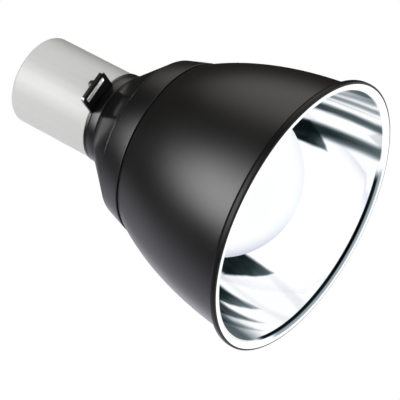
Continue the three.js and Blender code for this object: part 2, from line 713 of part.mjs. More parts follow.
function switchScrew([x, z]) {
  const head = SWITCH_BACK_Y + 0.4;
  const profile = [[0, head], [2.3, head], [2.3, head + 1.3], [1.3, head + 1.3], [1.3, 60.5], [0, 60.5]];
  return alongY(turned(profile, SMALL_SIDES)).translate(x, 0, z);
}

function switchTerminal(z) {
  return block([6, 4, 6], [4.5, 51.5, z]);
}

function contactSpring() {
  const shape = new THREE.Shape();
  shape.moveTo(-10, 0);
  shape.lineTo(-3, 0);
  shape.lineTo(0, 4);
  shape.lineTo(3, 0);
  shape.lineTo(10, 0);
  shape.lineTo(10, 0.5);
  shape.lineTo(3.2, 0.5);
  shape.lineTo(0, 4.6);
  shape.lineTo(-3.2, 0.5);
  shape.lineTo(-10, 0.5);
  const spring = plate(shape, -2.5, 5).rotateY(Math.PI / 2);
  return spring.translate(-3, 50, ROCKER_Z);
}

// The plug's grip, two pin holes and two side notches, drawn upward from its face.
function plugBody() {
  const profile = [[0, 0], [17.6, 0], [18.4, 0.8], [18.4, 11], [16.2, 13], [16.2, 18], [12, 28],
    [8.4, 34], [5.4, 37], [4.8, 46], [3.7, 46], [3.7, 31.5], [0, 31.5]];
  const tools = [];
  for (const side of [-1, 1]) {
    tools.push(rod(2.8, -1, 9).translate(side * PIN_OFFSET, 0, 0));
    tools.push(block([6.4, 5, 13], [0, side * 18, 5.5]));
  }
  return cut(turned(profile, 24), tools).translate(0, PLUG_Y, PLUG_FACE_Z);
}

function plugPin(side) {
  const profile = [[0, -PIN_LENGTH], [1.4, -PIN_LENGTH], [2.4, 1.5 - PIN_LENGTH], [2.4, 8.6], [0, 8.6]];
  return turned(profile, SMALL_SIDES).translate(side * PIN_OFFSET, PLUG_Y, PLUG_FACE_Z);
}

function plugEarthClip(side) {
  return block([5.6, 1, 11], [0, PLUG_Y + side * 16.4, PLUG_FACE_Z + 6]);
}

// ---- wires inside the housing -------------------------------------------------------------

function wire(points) {
  return swept(smoothCurve(points), 1.1, 12, 5);
}

const liveWirePoints = [[0, 1.8, 248.4], [0, 2.6, 240], [2, 4, 228], [1, 2, 220], [0, 0, 212.6]];
const neutralWirePoints = [[1.6, -0.9, 248.4], [3, -2, 240], [10, -5, 230], [13, -2, 221],
  [12.2, 0, 212.6]];
const earthWirePoints = [[-1.6, -0.9, 248.4], [-3, -1, 240], [-7, 8, 229], [-10.5, 21, 218],
  [...EARTH_SCREW, 205.3]];

// ---- assembly -----------------------------------------------------------------------------

piece('dome_shell', domeShell(), blackPaint);
piece('reflector', reflector(), mirrorAluminium);
piece('vent_ring', ventRing(), blackPaint);
piece('neck_cone', neckCone(), blackPaint);
piece('collar', collar(), blackPaint);
roundTheAxis(3, 30, (number, angle) => piece(`neck_rivet_${number}`, neckRivet(angle), zincSteel));

piece('hanger_ring', hangerRing(), blackPaint);
roundTheAxis(3, 35, (number, angle) => {
  piece(`stack_screw_${number}`, stackScrew(angle), zincSteel);
  piece(`stack_nut_${number}`, stackNut(angle), zincSteel);
});

piece('socket_housing', socketHousing(), greyPaint);
roundTheAxis(HOUSING_SCREWS, HOUSING_SCREW_AZIMUTH, (number, angle) => {
  piece(`housing_screw_${number}`, housingScrew(angle), darkScrew);
});

piece('lampholder_body', lampholderBody(), porcelain);
piece('lampholder_shell', lampholderShell(), nickel);
piece('centre_contact', centreContact(), brass);
piece('neutral_rivet', neutralRivet(), brass);
piece('socket_bracket', socketBracket(), zincSteel);
piece('holder_screw_1', holderScrew(1), zincSteel);
piece('holder_screw_2', holderScrew(-1), zincSteel);
piece('live_terminal', terminal(0), brass);
piece('neutral_terminal', terminal(NEUTRAL_RIVET_X), brass);
piece('earth_screw', earthScrew(), zincSteel);
piece('live_wire', wire(liveWirePoints), liveBrown);
piece('neutral_wire', wire(neutralWirePoints), neutralBlue);
piece('earth_wire', wire(earthWirePoints), earthGreen);

piece('bulb_globe', bulbGlobe(), opalGlass);
piece('bulb_housing', bulbHousing(), whitePlastic);
piece('led_board', ledBoard(), circuitBoard);
piece('driver_board', driverBoard(), circuitBoard);
piece('bulb_screw_shell', bulbScrewShell(), nickel);
piece('bulb_insulator', bulbInsulator(), blackGlass);
piece('bulb_tip_contact', bulbTipContact(), nickel);

piece('cord_grommet', cordGrommet(), blackRubber);
piece('cord_to_switch', cordToSwitch(), blackRubber);
piece('switch_base', switchBase(), blackPlastic);
piece('switch_cover', switchCover(), blackPlastic);
piece('switch_rocker', switchRocker(), blackPlastic);
piece('rocker_pin', rockerPin(), zincSteel);
SWITCH_SCREWS.forEach((place, i) => piece(`switch_screw_${i + 1}`, switchScrew(place), zincSteel));
piece('switch_terminal_in', switchTerminal(222), brass);
piece('switch_terminal_out', switchTerminal(194), brass);
piece('switch_contact_spring', contactSpring(), brass);
piece('cord_to_plug', cordToPlug(), blackRubber);
piece('cord_tie', cordTie(), blackPlastic);
piece('plug_body', plugBody(), blackPlastic);
piece('plug_pin_1', plugPin(1), nickel);
piece('plug_pin_2', plugPin(-1), nickel);
piece('plug_earth_clip_1', plugEarthClip(1), nickel);
piece('plug_earth_clip_2', plugEarthClip(-1), nickel);

export default lamp;
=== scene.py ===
import json
import math

import bmesh
import bpy
from mathutils import Matrix, Vector


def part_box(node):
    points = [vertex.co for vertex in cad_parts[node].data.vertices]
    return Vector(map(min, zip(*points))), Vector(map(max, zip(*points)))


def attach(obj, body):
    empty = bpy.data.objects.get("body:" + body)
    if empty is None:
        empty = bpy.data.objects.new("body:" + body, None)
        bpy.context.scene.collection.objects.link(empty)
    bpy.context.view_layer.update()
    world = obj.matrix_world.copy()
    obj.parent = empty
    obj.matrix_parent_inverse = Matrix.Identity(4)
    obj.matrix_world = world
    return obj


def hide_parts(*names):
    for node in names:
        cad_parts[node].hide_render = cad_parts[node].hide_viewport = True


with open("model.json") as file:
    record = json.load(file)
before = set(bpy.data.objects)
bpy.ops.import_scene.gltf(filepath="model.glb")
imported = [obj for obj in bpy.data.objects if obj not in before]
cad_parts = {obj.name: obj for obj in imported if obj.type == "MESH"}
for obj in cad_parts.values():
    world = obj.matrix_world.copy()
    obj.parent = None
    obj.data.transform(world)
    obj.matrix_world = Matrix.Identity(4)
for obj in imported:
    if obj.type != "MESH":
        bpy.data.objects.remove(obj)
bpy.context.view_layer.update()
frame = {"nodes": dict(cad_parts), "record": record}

# The looks of a dome grow lamp, built round its CAD frame: fine meshes for the pieces that show,
# a procedural finish for every piece, and a pale studio.

MM = 0.001
SIDES = 160               # round a large turned piece
SMALL_SIDES = 48          # round a small one
SHARP_EDGE = math.radians(32)
OFF_GRID = 0.8            # degrees that a turned piece is spun, so that no cut runs along its mesh edges

# ---- sizes in millimetres, in the frame's axes: +Z from the open rim to the back ------------

def low_corner(name):
    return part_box(name)[0] / MM


def high_corner(name):
    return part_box(name)[1] / MM


def centre_of(name):
    return (low_corner(name) + high_corner(name)) / 2


# Shade, mirror liner and neck
RIM_RADIUS = high_corner("dome_shell").x
RING_RADIUS = high_corner("vent_ring").x
RING_BOTTOM = low_corner("vent_ring").z
CONE_RADIUS = high_corner("neck_cone").x
CONE_BOTTOM = low_corner("neck_cone").z
CONE_TOP = high_corner("neck_cone").z
COLLAR_RADIUS = high_corner("collar").x
COLLAR_BOTTOM = low_corner("collar").z
COLLAR_TOP = high_corner("collar").z
SHEET = 1.0
REFLECTOR_SHEET = 0.8
SKIN_GAP = 0.4
LIP_CENTRE = (104.0, 4.3)
BEAD_TOP = 7.0
WALL_FOOT = 8.2           # where the bead and the liner's lip give way to the curved wall
DOME_RADIUS = 102.1       # the wall is part of an ellipse that stands on this radius
DOME_CENTRE_Z = -15.1
DOME_SEMI_HEIGHT = 186.1
NECK_BORE = 51.5
STACK_BORE = 27.8

# Socket housing, with six vents and two screws
TUBE_TOP = high_corner("socket_housing").z
TUBE_RADIUS = 35.9
TUBE_CORNER = 3.5
VENTS = 6
VENT_INNER = 19
VENT_OUTER = 24
VENT_HALF_ANGLE = 18
HOUSING_SCREWS = 2
HOUSING_SCREW_Z = centre_of("housing_screw_1").z
HOUSING_SCREW_AZIMUTH = 23

# Hanger ring and its slotted tab
HANGER_BOTTOM = low_corner("hanger_ring").z
HANGER_TOP = high_corner("hanger_ring").z
HANGER_RADIUS = high_corner("hanger_ring").x
HANGER_AZIMUTH = 13
TAB_HALF_WIDTH = 13.7
TAB_REACH = 55.0
TAB_CORNER = 3            # how far from its end the tab's corners are worn
SLOT_HALF_WIDTH = 10.4
SLOT_INNER = 46.8
SLOT_OUTER = 51.4

# Bulb
GLOBE_RADIUS = 62.5
GLOBE_CENTRE_Z = low_corner("bulb_globe").z + GLOBE_RADIUS
GLOBE_WALL = 1.2

# Cord, plug and in-line switch
CORD_RADIUS = 3.2
CORD_DROP_Y = 55
COIL_CENTRE_Z = 172
COIL_HALF_WIDTH = 44
COIL_HALF_HEIGHT = 52
COIL_START_Y = 76
COIL_PITCH = 6.8
COIL_START_DEGREES = -40
COIL_END_DEGREES = 1445
PLUG_Y = centre_of("plug_body").y
PLUG_FACE_Z = low_corner("plug_body").z
PIN_OFFSET = centre_of("plug_pin_1").x
PIN_LENGTH = PLUG_FACE_Z - low_corner("plug_pin_1").z
SWITCH_LOW = low_corner("switch_base")
SWITCH_HIGH = high_corner("switch_cover")
SWITCH_SPLIT_Y = low_corner("switch_cover").y
SWITCH_WALL = 1.6
SWITCH_CORNER = 7
ROCKER_Z = centre_of("rocker_pin").z
ROCKER_PIVOT_Y = centre_of("rocker_pin").y
ROCKER_REST_TILT = 7
ROCKER_HALF_WIDTH = 6.05
ROCKER_HALF_LENGTH = 10.6


# ---- shader helpers ------------------------------------------------------------------------

def node(tree, kind, inputs=None, **settings):
    """Adds a shader node; an input may be a number, a colour or another node's output."""
    made = tree.nodes.new("ShaderNode" + kind)
    for key, value in settings.items():
        setattr(made, key, value)
    for key, value in (inputs or {}).items():
        if isinstance(value, bpy.types.NodeSocket):
            tree.links.new(value, made.inputs[key])
        else:
            made.inputs[key].default_value = value
    return made


def new_material(name):
    """An empty node material and its node tree."""
    material = bpy.data.materials.new(name)
    material.use_nodes = True
    material.node_tree.nodes.clear()
    return material, material.node_tree


def place(tree):
    """The shaded point in metres, in the frame's axes."""
    return node(tree, "TexCoord").outputs["Object"]


def noise(tree, scale, detail=4.0, roughness=0.55, stretch=None):
    """Noise in object space; scale counts features per metre, stretch squeezes an axis."""
    vector = place(tree)
    if stretch:
        vector = node(tree, "Mapping", {"Vector": vector, "Scale": stretch}).outputs["Vector"]
    values = {"Vector": vector, "Scale": scale, "Detail": detail, "Roughness": roughness}
    return node(tree, "TexNoise", values).outputs["Fac"]


def ramp(tree, factor, low, high, start=0.0, end=1.0):
    """Maps factor from the range start..end to low..high."""
    values = {"Value": factor, "From Min": start, "From Max": end, "To Min": low, "To Max": high}
    return node(tree, "MapRange", values).outputs["Result"]


def smooth_step(tree, value, start, end):
    """0 at start, 1 at end, eased at both."""
    values = {"Value": value, "From Min": start, "From Max": end, "To Min": 0.0, "To Max": 1.0}
    return node(tree, "MapRange", values, interpolation_type="SMOOTHSTEP").outputs["Result"]


def math_node(tree, operation, first, *others):
    """One math node, or a chain of them when there are more than two values."""
    result = first
    for other in others or (0,):
        result = node(tree, "Math", {0: result, 1: other}, operation=operation).outputs[0]
    return result


def mix_colour(tree, factor, a, b):
    """Colour a where factor is 0, b where it is 1."""
    made = node(tree, "Mix", data_type="RGBA")
    for key, value in ((0, factor), (6, a), (7, b)):
        if isinstance(value, bpy.types.NodeSocket):
            tree.links.new(value, made.inputs[key])
        else:
            made.inputs[key].default_value = value
    return made.outputs[2]


def bump(tree, height, strength, distance):
    values = {"Height": height, "Strength": strength, "Distance": distance}
    return node(tree, "Bump", values).outputs["Normal"]


def edge_mask(tree, radius, contrast=6.0):
    """1 on edges, 0 on open faces, from how far a rounded normal turns from the true one."""
    bevel = node(tree, "Bevel", {"Radius": radius}, samples=4).outputs["Normal"]
    normal = node(tree, "NewGeometry").outputs["Normal"]
    dot = node(tree, "VectorMath", {0: bevel, 1: normal}, operation="DOT_PRODUCT").outputs["Value"]
    return ramp(tree, dot, 1.0, 0.0, 1.0 - 1.0 / contrast, 1.0)


def surface(tree, shader):
    output = node(tree, "OutputMaterial")
    tree.links.new(shader.outputs[0], output.inputs["Surface"])


def colour(red, green, blue):
    return (red, green, blue, 1.0)


# ---- materials -----------------------------------------------------------------------------

def coated_black(name, base, rough, grain_depth, coat=0.0):
    """Powder-coated or enamelled black metal: fine orange peel, faint dust, worn bright edges.

    The paint is duller where it is thin, on the rolled bead below BEAD_TOP.
    """
    material, tree = new_material(name)
    dust = noise(tree, 35, 3)
    cloud = noise(tree, 9, 2)
    tint = mix_colour(tree, dust, colour(*base), colour(*(1.35 * c + 0.002 for c in base)))
    patchy = ramp(tree, noise(tree, 160), 0, 1, 0.45, 0.7)
    worn = math_node(tree, "MULTIPLY", edge_mask(tree, 0.0006), patchy, 0.35)
    tint = mix_colour(tree, worn, tint, colour(0.09, 0.088, 0.085))
    roughness = ramp(tree, cloud, rough - 0.04, rough + 0.05, 0.3, 0.7)
    peel = noise(tree, 1100, 2, 0.5)
    height = node(tree, "SeparateXYZ", {0: place(tree)}).outputs["Z"]
    specular = ramp(tree, height, 0.16, 0.5, BEAD_TOP * MM, (BEAD_TOP + 1) * MM)
    values = {"Base Color": tint, "Roughness": roughness, "Coat Weight": coat, "Coat Roughness": 0.12,
              "Specular IOR Level": specular, "Normal": bump(tree, peel, 0.35, grain_depth)}
    surface(tree, node(tree, "BsdfPrincipled", values))
    return material


def grey_paint(name):
    """Light grey baked paint on the housing: fine grain and faint marks along its length."""
    material, tree = new_material(name)
    cloud = noise(tree, 14, 3)
    drawn = noise(tree, 220, 2, 0.5, stretch=(1, 1, 0.02))
    tint = mix_colour(tree, cloud, colour(0.53, 0.53, 0.505), colour(0.57, 0.57, 0.55))
    tint = mix_colour(tree, ramp(tree, drawn, 0, 0.3, 0.4, 0.7), tint, colour(0.62, 0.62, 0.61))
    grain = noise(tree, 2200, 2, 0.6)
    values = {"Base Color": tint, "Roughness": ramp(tree, grain, 0.34, 0.44, 0.3, 0.7),
              "Normal": bump(tree, grain, 0.25, 0.00003)}
    surface(tree, node(tree, "BsdfPrincipled", values))
    return material


# Dark reflections painted on the mirror's colour as streaks. Each has a foot and a head, given as (angle
# from +Y toward +X in degrees, height in mm, half width in degrees, darkness), and the softness of its
# sides. A half width below 0 makes that end of the streak a point.
PAINTED_REFLECTION_STREAKS = (
    ((35.5, 45, -0.8, 0.55), (42.6, 63, 6.4, 0.985), 1.2),
    ((45.0, 2.6, 3.2, 0.70), (45.6, 60, 3.6, 0.72), 1.9),
    ((45.6, 8, -0.4, 0.25), (45.8, 62, 3.5, 0.62), 2.2),
    ((53.0, 2.6, 5.5, 0.18), (53.0, 17, -1.0, 0.14), 1.0),
    ((58.8, 2.6, 2.5, 0.70), (61.5, 60, 2.8, 0.82), 1.7),
    ((67.0, 2.6, 0.2, 0.15), (68.0, 60, 0.5, 0.35), 1.3),
    ((71.5, 2.6, 1.8, 0.48), (72.0, 60, 2.0, 0.55), 1.8),
    ((79.5, 2.6, 3.0, 0.42), (76.5, 60, 1.4, 0.40), 2.2),
    ((93.0, 2.6, 11.0, 0.72), (86.0, 60, 4.0, 0.56), 5.0),
    ((-29.3, 39, -0.8, 0.66), (-38.4, 66, 8.4, 0.975), 1.2),
    ((-49.4, 24, -0.8, 0.34), (-61.0, 55, 6.2, 0.97), 1.5),
    ((-56.5, 13, -0.8, 0.45), (-69.5, 40, 4.4, 0.82), 1.9),
    ((-62.0, 7, -0.8, 0.30), (-76.0, 28, 4.0, 0.50), 2.2),
    ((-84.0, 2.6, 12.0, 0.68), (-92.0, 60, 19.0, 0.84), 9.0),
    ((-37.0, 4, 3.0, 0.08), (-31.5, 40, 1.6, 0.07), 1.4),
    ((-47.5, 4, 2.4, 0.08), (-49.0, 24, 1.4, 0.06), 1.4),
)
STREAK_BULGE = 0.78
STREAK_FADE = 0.8

# Painted dark reflections along the rounded lip: (angle, height, half length in degrees), half width in
# mm, darkness.
PAINTED_LIP_LINE = ((-18, 2.9, 52), 1.25, 1.0)
PAINTED_LIP_SHADE = ((-12, 1.0, 48), 0.75, 0.45)
FLANGE_TOP = 2            # mm; below this the mirror is the flat flange and the foot of its lip


def streak(tree, degrees, height, grain, foot, head, soft):
    """What is left of the mirror's painted brightness, 0 to 1, at a place crossed by one tapering painted
    dark streak.
    """
    share = math_node(tree, "POWER", ramp(tree, height, 0, 1, foot[1], head[1]), STREAK_BULGE)
    centre = ramp(tree, share, foot[0], head[0])
    half = ramp(tree, share, foot[2], head[2])
    dark = ramp(tree, share, foot[3], head[3])
    away = math_node(tree, "ABSOLUTE", math_node(tree, "SUBTRACT", degrees, centre))
    outside = math_node(tree, "SUBTRACT", away, half)
    band = smooth_step(tree, outside, soft, -soft)
    lift = smooth_step(tree, height, foot[1] - STREAK_FADE, foot[1] + STREAK_FADE)
    return math_node(tree, "SUBTRACT", 1.0, math_node(tree, "MULTIPLY", band, lift, dark, grain))


def painted_lip_band(tree, degrees, height, middle, half, dark):
    """What is left of the mirror's painted brightness near the rounded lip: one thin painted dark band
    along it.
    """
    across = math_node(tree, "ABSOLUTE", math_node(tree, "SUBTRACT", height, middle[1]))
    along = math_node(tree, "ABSOLUTE", math_node(tree, "SUBTRACT", degrees, middle[0]))
    band = math_node(tree, "MULTIPLY", smooth_step(tree, across, 1.35 * half, 0.65 * half),
                     smooth_step(tree, along, middle[2] + 4, middle[2] - 4), dark)
    return math_node(tree, "SUBTRACT", 1.0, band)


def painted_reflection_brightness(tree):
    """1 where the mirror keeps its full colour, towards 0 along the painted dark streaks that stand in for
    reflections.
    """
    split = node(tree, "SeparateXYZ", {0: place(tree)})
    turn = math_node(tree, "ARCTAN2", split.outputs["X"], split.outputs["Y"])
    degrees = math_node(tree, "DEGREES", turn)
    ragged = noise(tree, 60, 3, 0.6, stretch=(1, 1, 0.12))
    wavy = math_node(tree, "ADD", degrees, ramp(tree, ragged, -0.9, 0.9, 0.3, 0.7))
    height = math_node(tree, "DIVIDE", split.outputs["Z"], MM)
    brushed = noise(tree, 240, 3, 0.6, stretch=(1, 1, 0.04))
    grain = ramp(tree, brushed, 0.93, 1.01, 0.3, 0.7)
    clear = [streak(tree, wavy, height, grain, *row) for row in PAINTED_REFLECTION_STREAKS]
    clear += [painted_lip_band(tree, degrees, height, *row) for row in (PAINTED_LIP_LINE, PAINTED_LIP_SHADE)]
    return math_node(tree, "MULTIPLY", *clear)


def mirror_metal(name):
    """Spun, polished aluminium: a mirror with turning marks and dark reflections painted as streaks up its
    wall.

    Rays that have already bounced see an even white glow in place of the wall, so that the bulb and
    the mirror show bright surroundings in each other. The flange has no glow.
    """
    material, tree = new_material(name)
    split = node(tree, "SeparateXYZ", {0: place(tree)})
    turning = node(tree, "TexNoise", {"W": split.outputs["Z"], "Scale": 1800, "Detail": 3},
                   noise_dimensions="1D").outputs["Fac"]
    cloud = noise(tree, 30, 3)
    bright = mix_colour(tree, cloud, colour(0.975, 0.98, 0.98), colour(0.995, 0.995, 0.995))
    # Painted reflections: the mask's colours, from black through teal grey to white, tint the mirror.
    steps = node(tree, "ValToRGB", {"Fac": painted_reflection_brightness(tree)})
    stops = steps.color_ramp.elements
    stops[0].color = colour(0.003, 0.006, 0.006)
    stops[1].color = colour(1, 1, 1)
    stops.new(0.15).color = colour(0.018, 0.029, 0.030)
    stops.new(0.40).color = colour(0.14, 0.175, 0.19)
    stops.new(0.70).color = colour(0.45, 0.49, 0.52)
    tint = node(tree, "Mix", data_type="RGBA", blend_type="MULTIPLY")
    for key, value in ((6, bright), (7, steps.outputs["Color"])):
        tree.links.new(value, tint.inputs[key])
    tint.inputs[0].default_value = 1.0
    values = {"Color": tint.outputs[2], "Roughness": ramp(tree, cloud, 0.05, 0.09, 0.3, 0.7),
              "Normal": bump(tree, turning, 0.05, 0.00001)}
    mirror = node(tree, "BsdfAnisotropic", values)
    glow = node(tree, "Emission", {"Color": colour(0.985, 0.99, 1.0), "Strength": 1.02})
    camera_ray = node(tree, "LightPath").outputs["Is Camera Ray"]
    flange = math_node(tree, "LESS_THAN", split.outputs["Z"], FLANGE_TOP * MM)
    plain = math_node(tree, "MAXIMUM", camera_ray, flange)
    surface(tree, node(tree, "MixShader", {0: plain, 1: glow.outputs[0], 2: mirror.outputs[0]}))
    return material


def plated_metal(name, base, rough, scratch=0.25):
    """Plated or plain metal: cloudy tarnish, fine scratches and a soft bump."""
    material, tree = new_material(name)
    cloud = noise(tree, 90, 4)
    darker = tuple(0.72 * c for c in base)
    tint = mix_colour(tree, cloud, colour(*darker), colour(*base))
    marks = noise(tree, 900, 3, 0.6, stretch=(1, 1, 0.15))
    values = {"Base Color": tint, "Metallic": 1.0,
              "Roughness": ramp(tree, marks, rough - 0.06, rough + 0.1, 0.3, 0.7),
              "Normal": bump(tree, marks, scratch, 0.00003)}
    surface(tree, node(tree, "BsdfPrincipled", values))
    return material


def moulded(name, base, rough, grain_scale=1600, grain_depth=0.00005, sheen=0.0, coat=0.0):
    """Moulded plastic, rubber or glaze: colour cloud, textured bump, lighter rubbed edges."""
    material, tree = new_material(name)
    cloud = noise(tree, 60, 3)
    lighter = tuple(min(1.0, 1.25 * c + 0.004) for c in base)
    tint = mix_colour(tree, cloud, colour(*base), colour(*lighter))
    tint = mix_colour(tree, ramp(tree, edge_mask(tree, 0.0005), 0, 0.3), tint, colour(*lighter))
    grain = noise(tree, grain_scale, 2, 0.5)
    values = {"Base Color": tint, "Roughness": ramp(tree, grain, rough - 0.05, rough + 0.07, 0.3, 0.7),
              "Sheen Weight": sheen, "Coat Weight": coat,
              "Normal": bump(tree, grain, 0.4, grain_depth)}
    surface(tree, node(tree, "BsdfPrincipled", values))
    return material


def opal(name):
    """The bulb's opal skin: white, with painted lavender shading round its outline, most on the -X side.
    """
    material, tree = new_material(name)
    # Painted shade: a lavender tint along the bulb's outline, stronger on its -X side.
    facing = node(tree, "LayerWeight", {"Blend": 0.5}).outputs["Facing"]
    side = node(tree, "SeparateXYZ", {0: node(tree, "NewGeometry").outputs["Normal"]}).outputs["X"]
    strength = ramp(tree, smooth_step(tree, side, 0.1, -0.7), 0.35, 1.0)
    shade = math_node(tree, "MULTIPLY", smooth_step(tree, facing, 0.38, 0.98), strength)
    tint = mix_colour(tree, noise(tree, 25, 2), colour(0.97, 0.975, 0.98), colour(1.0, 1.0, 1.0))
    tint = mix_colour(tree, shade, tint, colour(0.46, 0.49, 0.60))
    values = {"Base Color": tint, "Roughness": 0.35, "Specular IOR Level": 0.2,
              "Emission Color": tint, "Emission Strength": 0.035,
              "Normal": bump(tree, noise(tree, 900, 2), 0.08, 0.00002)}
    surface(tree, node(tree, "BsdfPrincipled", values))
    return material


# One finish for each material slot of the record, and two more: the glossier cone and bare cut edges.
MATERIALS = {
    "black_paint": coated_black("satin_black", (0.0045, 0.0042, 0.004), 0.31, 0.00006),
    "gloss_black": coated_black("gloss_black", (0.005, 0.005, 0.005), 0.27, 0.00002, coat=0.12),
    "grey_paint": grey_paint("grey_paint"),
    "mirror_aluminium": mirror_metal("mirror_aluminium"),
    "zinc_steel": plated_metal("zinc_plate", (0.62, 0.63, 0.64), 0.32),
    "dark_screw": plated_metal("dark_plate", (0.10, 0.10, 0.10), 0.38),
    "nickel": plated_metal("nickel_plate", (0.78, 0.76, 0.72), 0.22),
    "brass": plated_metal("stamped_brass", (0.78, 0.6, 0.3), 0.28),
    "porcelain": moulded("glazed_porcelain", (0.82, 0.81, 0.77), 0.14, 500, 0.00002, coat=0.6),
    "opal_plastic": opal("opal_skin"),
    "white_plastic": moulded("white_plastic", (0.78, 0.78, 0.77), 0.38),
    "circuit_board": moulded("solder_mask", (0.72, 0.75, 0.72), 0.45),
    "black_glass": moulded("black_glass", (0.01, 0.01, 0.012), 0.12, coat=0.5),
    "black_rubber": moulded("cord_sheath", (0.014, 0.014, 0.0145), 0.5, 2600, 0.00006, sheen=0.15),
    "black_plastic": moulded("black_plastic", (0.016, 0.016, 0.017), 0.42, 2000, 0.00008),
    "brown_insulation": moulded("brown_insulation", (0.17, 0.07, 0.03), 0.35),
    "blue_insulation": moulded("blue_insulation", (0.03, 0.11, 0.36), 0.35),
    "green_insulation": moulded("green_insulation", (0.1, 0.32, 0.05), 0.35),
    "bare_edge": plated_metal("bare_edge", (0.75, 0.75, 0.74), 0.35),
}


# ---- mesh helpers --------------------------------------------------------------------------

def finish_piece(obj, slot, body, *stands_for, paint=None):
    """Smooth-shades a piece, paints it with its slot's finish, ties it to its body and hides the CAD nodes
    it stands for.
    """
    obj.data.shade_smooth()
    obj.data.set_sharp_from_angle(angle=SHARP_EDGE)
    obj.data.materials.clear()
    obj.data.materials.append(MATERIALS[paint or slot])
    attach(obj, body)
    if stands_for:
        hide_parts(*stands_for)
    return obj


def object_from(name, vertices, faces):
    """A mesh object from vertices in millimetres, its faces turned outward."""
    mesh = bpy.data.meshes.new(name)
    mesh.from_pydata([Vector(v) * MM for v in vertices], [], faces)
    work = bmesh.new()
    work.from_mesh(mesh)
    bmesh.ops.recalc_face_normals(work, faces=work.faces)
    work.to_mesh(mesh)
    work.free()
    obj = bpy.data.objects.new(name, mesh)
    bpy.context.scene.collection.objects.link(obj)
    return obj


def filleted(corners, steps=6):
    """Points of a closed outline from (x, y, fillet radius) corners."""
    points = []
    for i, (x, y, radius) in enumerate(corners):
        here = Vector((x, y))
        if radius == 0:
            points.append(here)
            continue
        back = (Vector(corners[i - 1][:2]) - here).normalized()
        ahead = (Vector(corners[(i + 1) % len(corners)][:2]) - here).normalized()
        half = back.angle(ahead) / 2
        centre = here + (back + ahead).normalized() * (radius / math.sin(half))
        start = here + back * (radius / math.tan(half)) - centre
        end = here + ahead * (radius / math.tan(half)) - centre
        points.extend(centre + radius * start.slerp(end, k / steps) for k in range(steps + 1))
    return points


def lathe(name, outline, sides=SIDES):
    """A solid of revolution about Z from a closed (radius, z) outline in millimetres."""
    vertices, rings = [], []
    for radius, z in outline:
        if radius < 1e-6:
            rings.append([len(vertices)])
            vertices.append((0, 0, z))
            continue
        rings.append([len(vertices) + k for k in range(sides)])
        for k in range(sides):
            angle = 2 * math.pi * k / sides
            vertices.append((radius * math.cos(angle), radius * math.sin(angle), z))
    faces = []
    for low, high in zip(rings, rings[1:] + rings[:1]):
        if len(low) == 1 and len(high) == 1:
            continue
        for k in range(sides):
            n = (k + 1) % sides
            if len(low) == 1:
                faces.append((low[0], high[n], high[k]))
            elif len(high) == 1:
                faces.append((low[k], low[n], high[0]))
            else:
                faces.append((low[k], low[n], high[n], high[k]))
    return object_from(name, vertices, faces)


def arc(centre, radius, start, end, steps):
    """Points on a circle from start to end degrees."""
    turns = [math.radians(start + (end - start) * k / steps) for k in range(steps + 1)]
    return [(centre[0] + radius * math.cos(t), centre[1] + radius * math.sin(t)) for t in turns]


def moved(obj, location=(0, 0, 0), z_turn=0.0, x_turn=0.0):
    """Turns a piece's mesh about X, moves it by millimetres, then turns it about Z."""
    lift = Matrix.Translation(Vector(location) * MM)
    turn = Matrix.Rotation(math.radians(z_turn), 4, "Z")
    tip = Matrix.Rotation(math.radians(x_turn), 4, "X")
    obj.data.transform(turn @ lift @ tip)
    return obj


def baked(obj):
    """Replaces an object's mesh by what its modifiers make of it."""
    graph = bpy.context.evaluated_depsgraph_get()
    mesh = bpy.data.meshes.new_from_object(obj.evaluated_get(graph))
    obj.modifiers.clear()
    obj.data = mesh
    return obj


def bevelled(obj, width, segments, least_degrees):
    """Rounds every edge that turns by more than least_degrees."""
    modifier = obj.modifiers.new("edge", "BEVEL")
    modifier.width = width * MM
    modifier.segments = segments
    modifier.limit_method = "ANGLE"
    modifier.angle_limit = math.radians(least_degrees)
    return baked(obj)


def carve(obj, cutters):
    """Cuts each cutter out of obj and throws the cutters away."""
    for cutter in cutters:
        modifier = obj.modifiers.new("cut", "BOOLEAN")
        modifier.object = cutter
        modifier.solver = "EXACT"
    baked(obj)
    for cutter in cutters:
        bpy.data.objects.remove(cutter)
    return obj


def prism(name, outline, low, high):
    """An outline in X and Y raised from low to high."""
    count = len(outline)
    vertices = [(x, y, z) for z in (low, high) for x, y in outline]
    faces = [tuple(range(count - 1, -1, -1)), tuple(range(count, 2 * count))]
    faces += [(k, (k + 1) % count, count + (k + 1) % count, count + k) for k in range(count)]
    return object_from(name, vertices, faces)


def rectangle(half_x, half_y, radius):
    return filleted([(half_x, half_y, radius), (-half_x, half_y, radius),
                     (-half_x, -half_y, radius), (half_x, -half_y, radius)])


def circle(radius, sides=SMALL_SIDES):
    return [(radius * math.cos(2 * math.pi * k / sides), radius * math.sin(2 * math.pi * k / sides))
            for k in range(sides)]


def smooth_path(points, per_span=8):
    """A Catmull-Rom path through the points."""
    path = []
    ends = [2 * Vector(points[0]) - Vector(points[1])]
    control = ends + [Vector(p) for p in points] + [2 * Vector(points[-1]) - Vector(points[-2])]
    for a, b, c, d in zip(control, control[1:], control[2:], control[3:]):
        for k in range(per_span):
            t = k / per_span
            path.append(0.5 * (2 * b + (c - a) * t + (2 * a - 5 * b + 4 * c - d) * t * t
                               + (3 * b - a - 3 * c + d) * t * t * t))
    path.append(Vector(points[-1]))
    return path


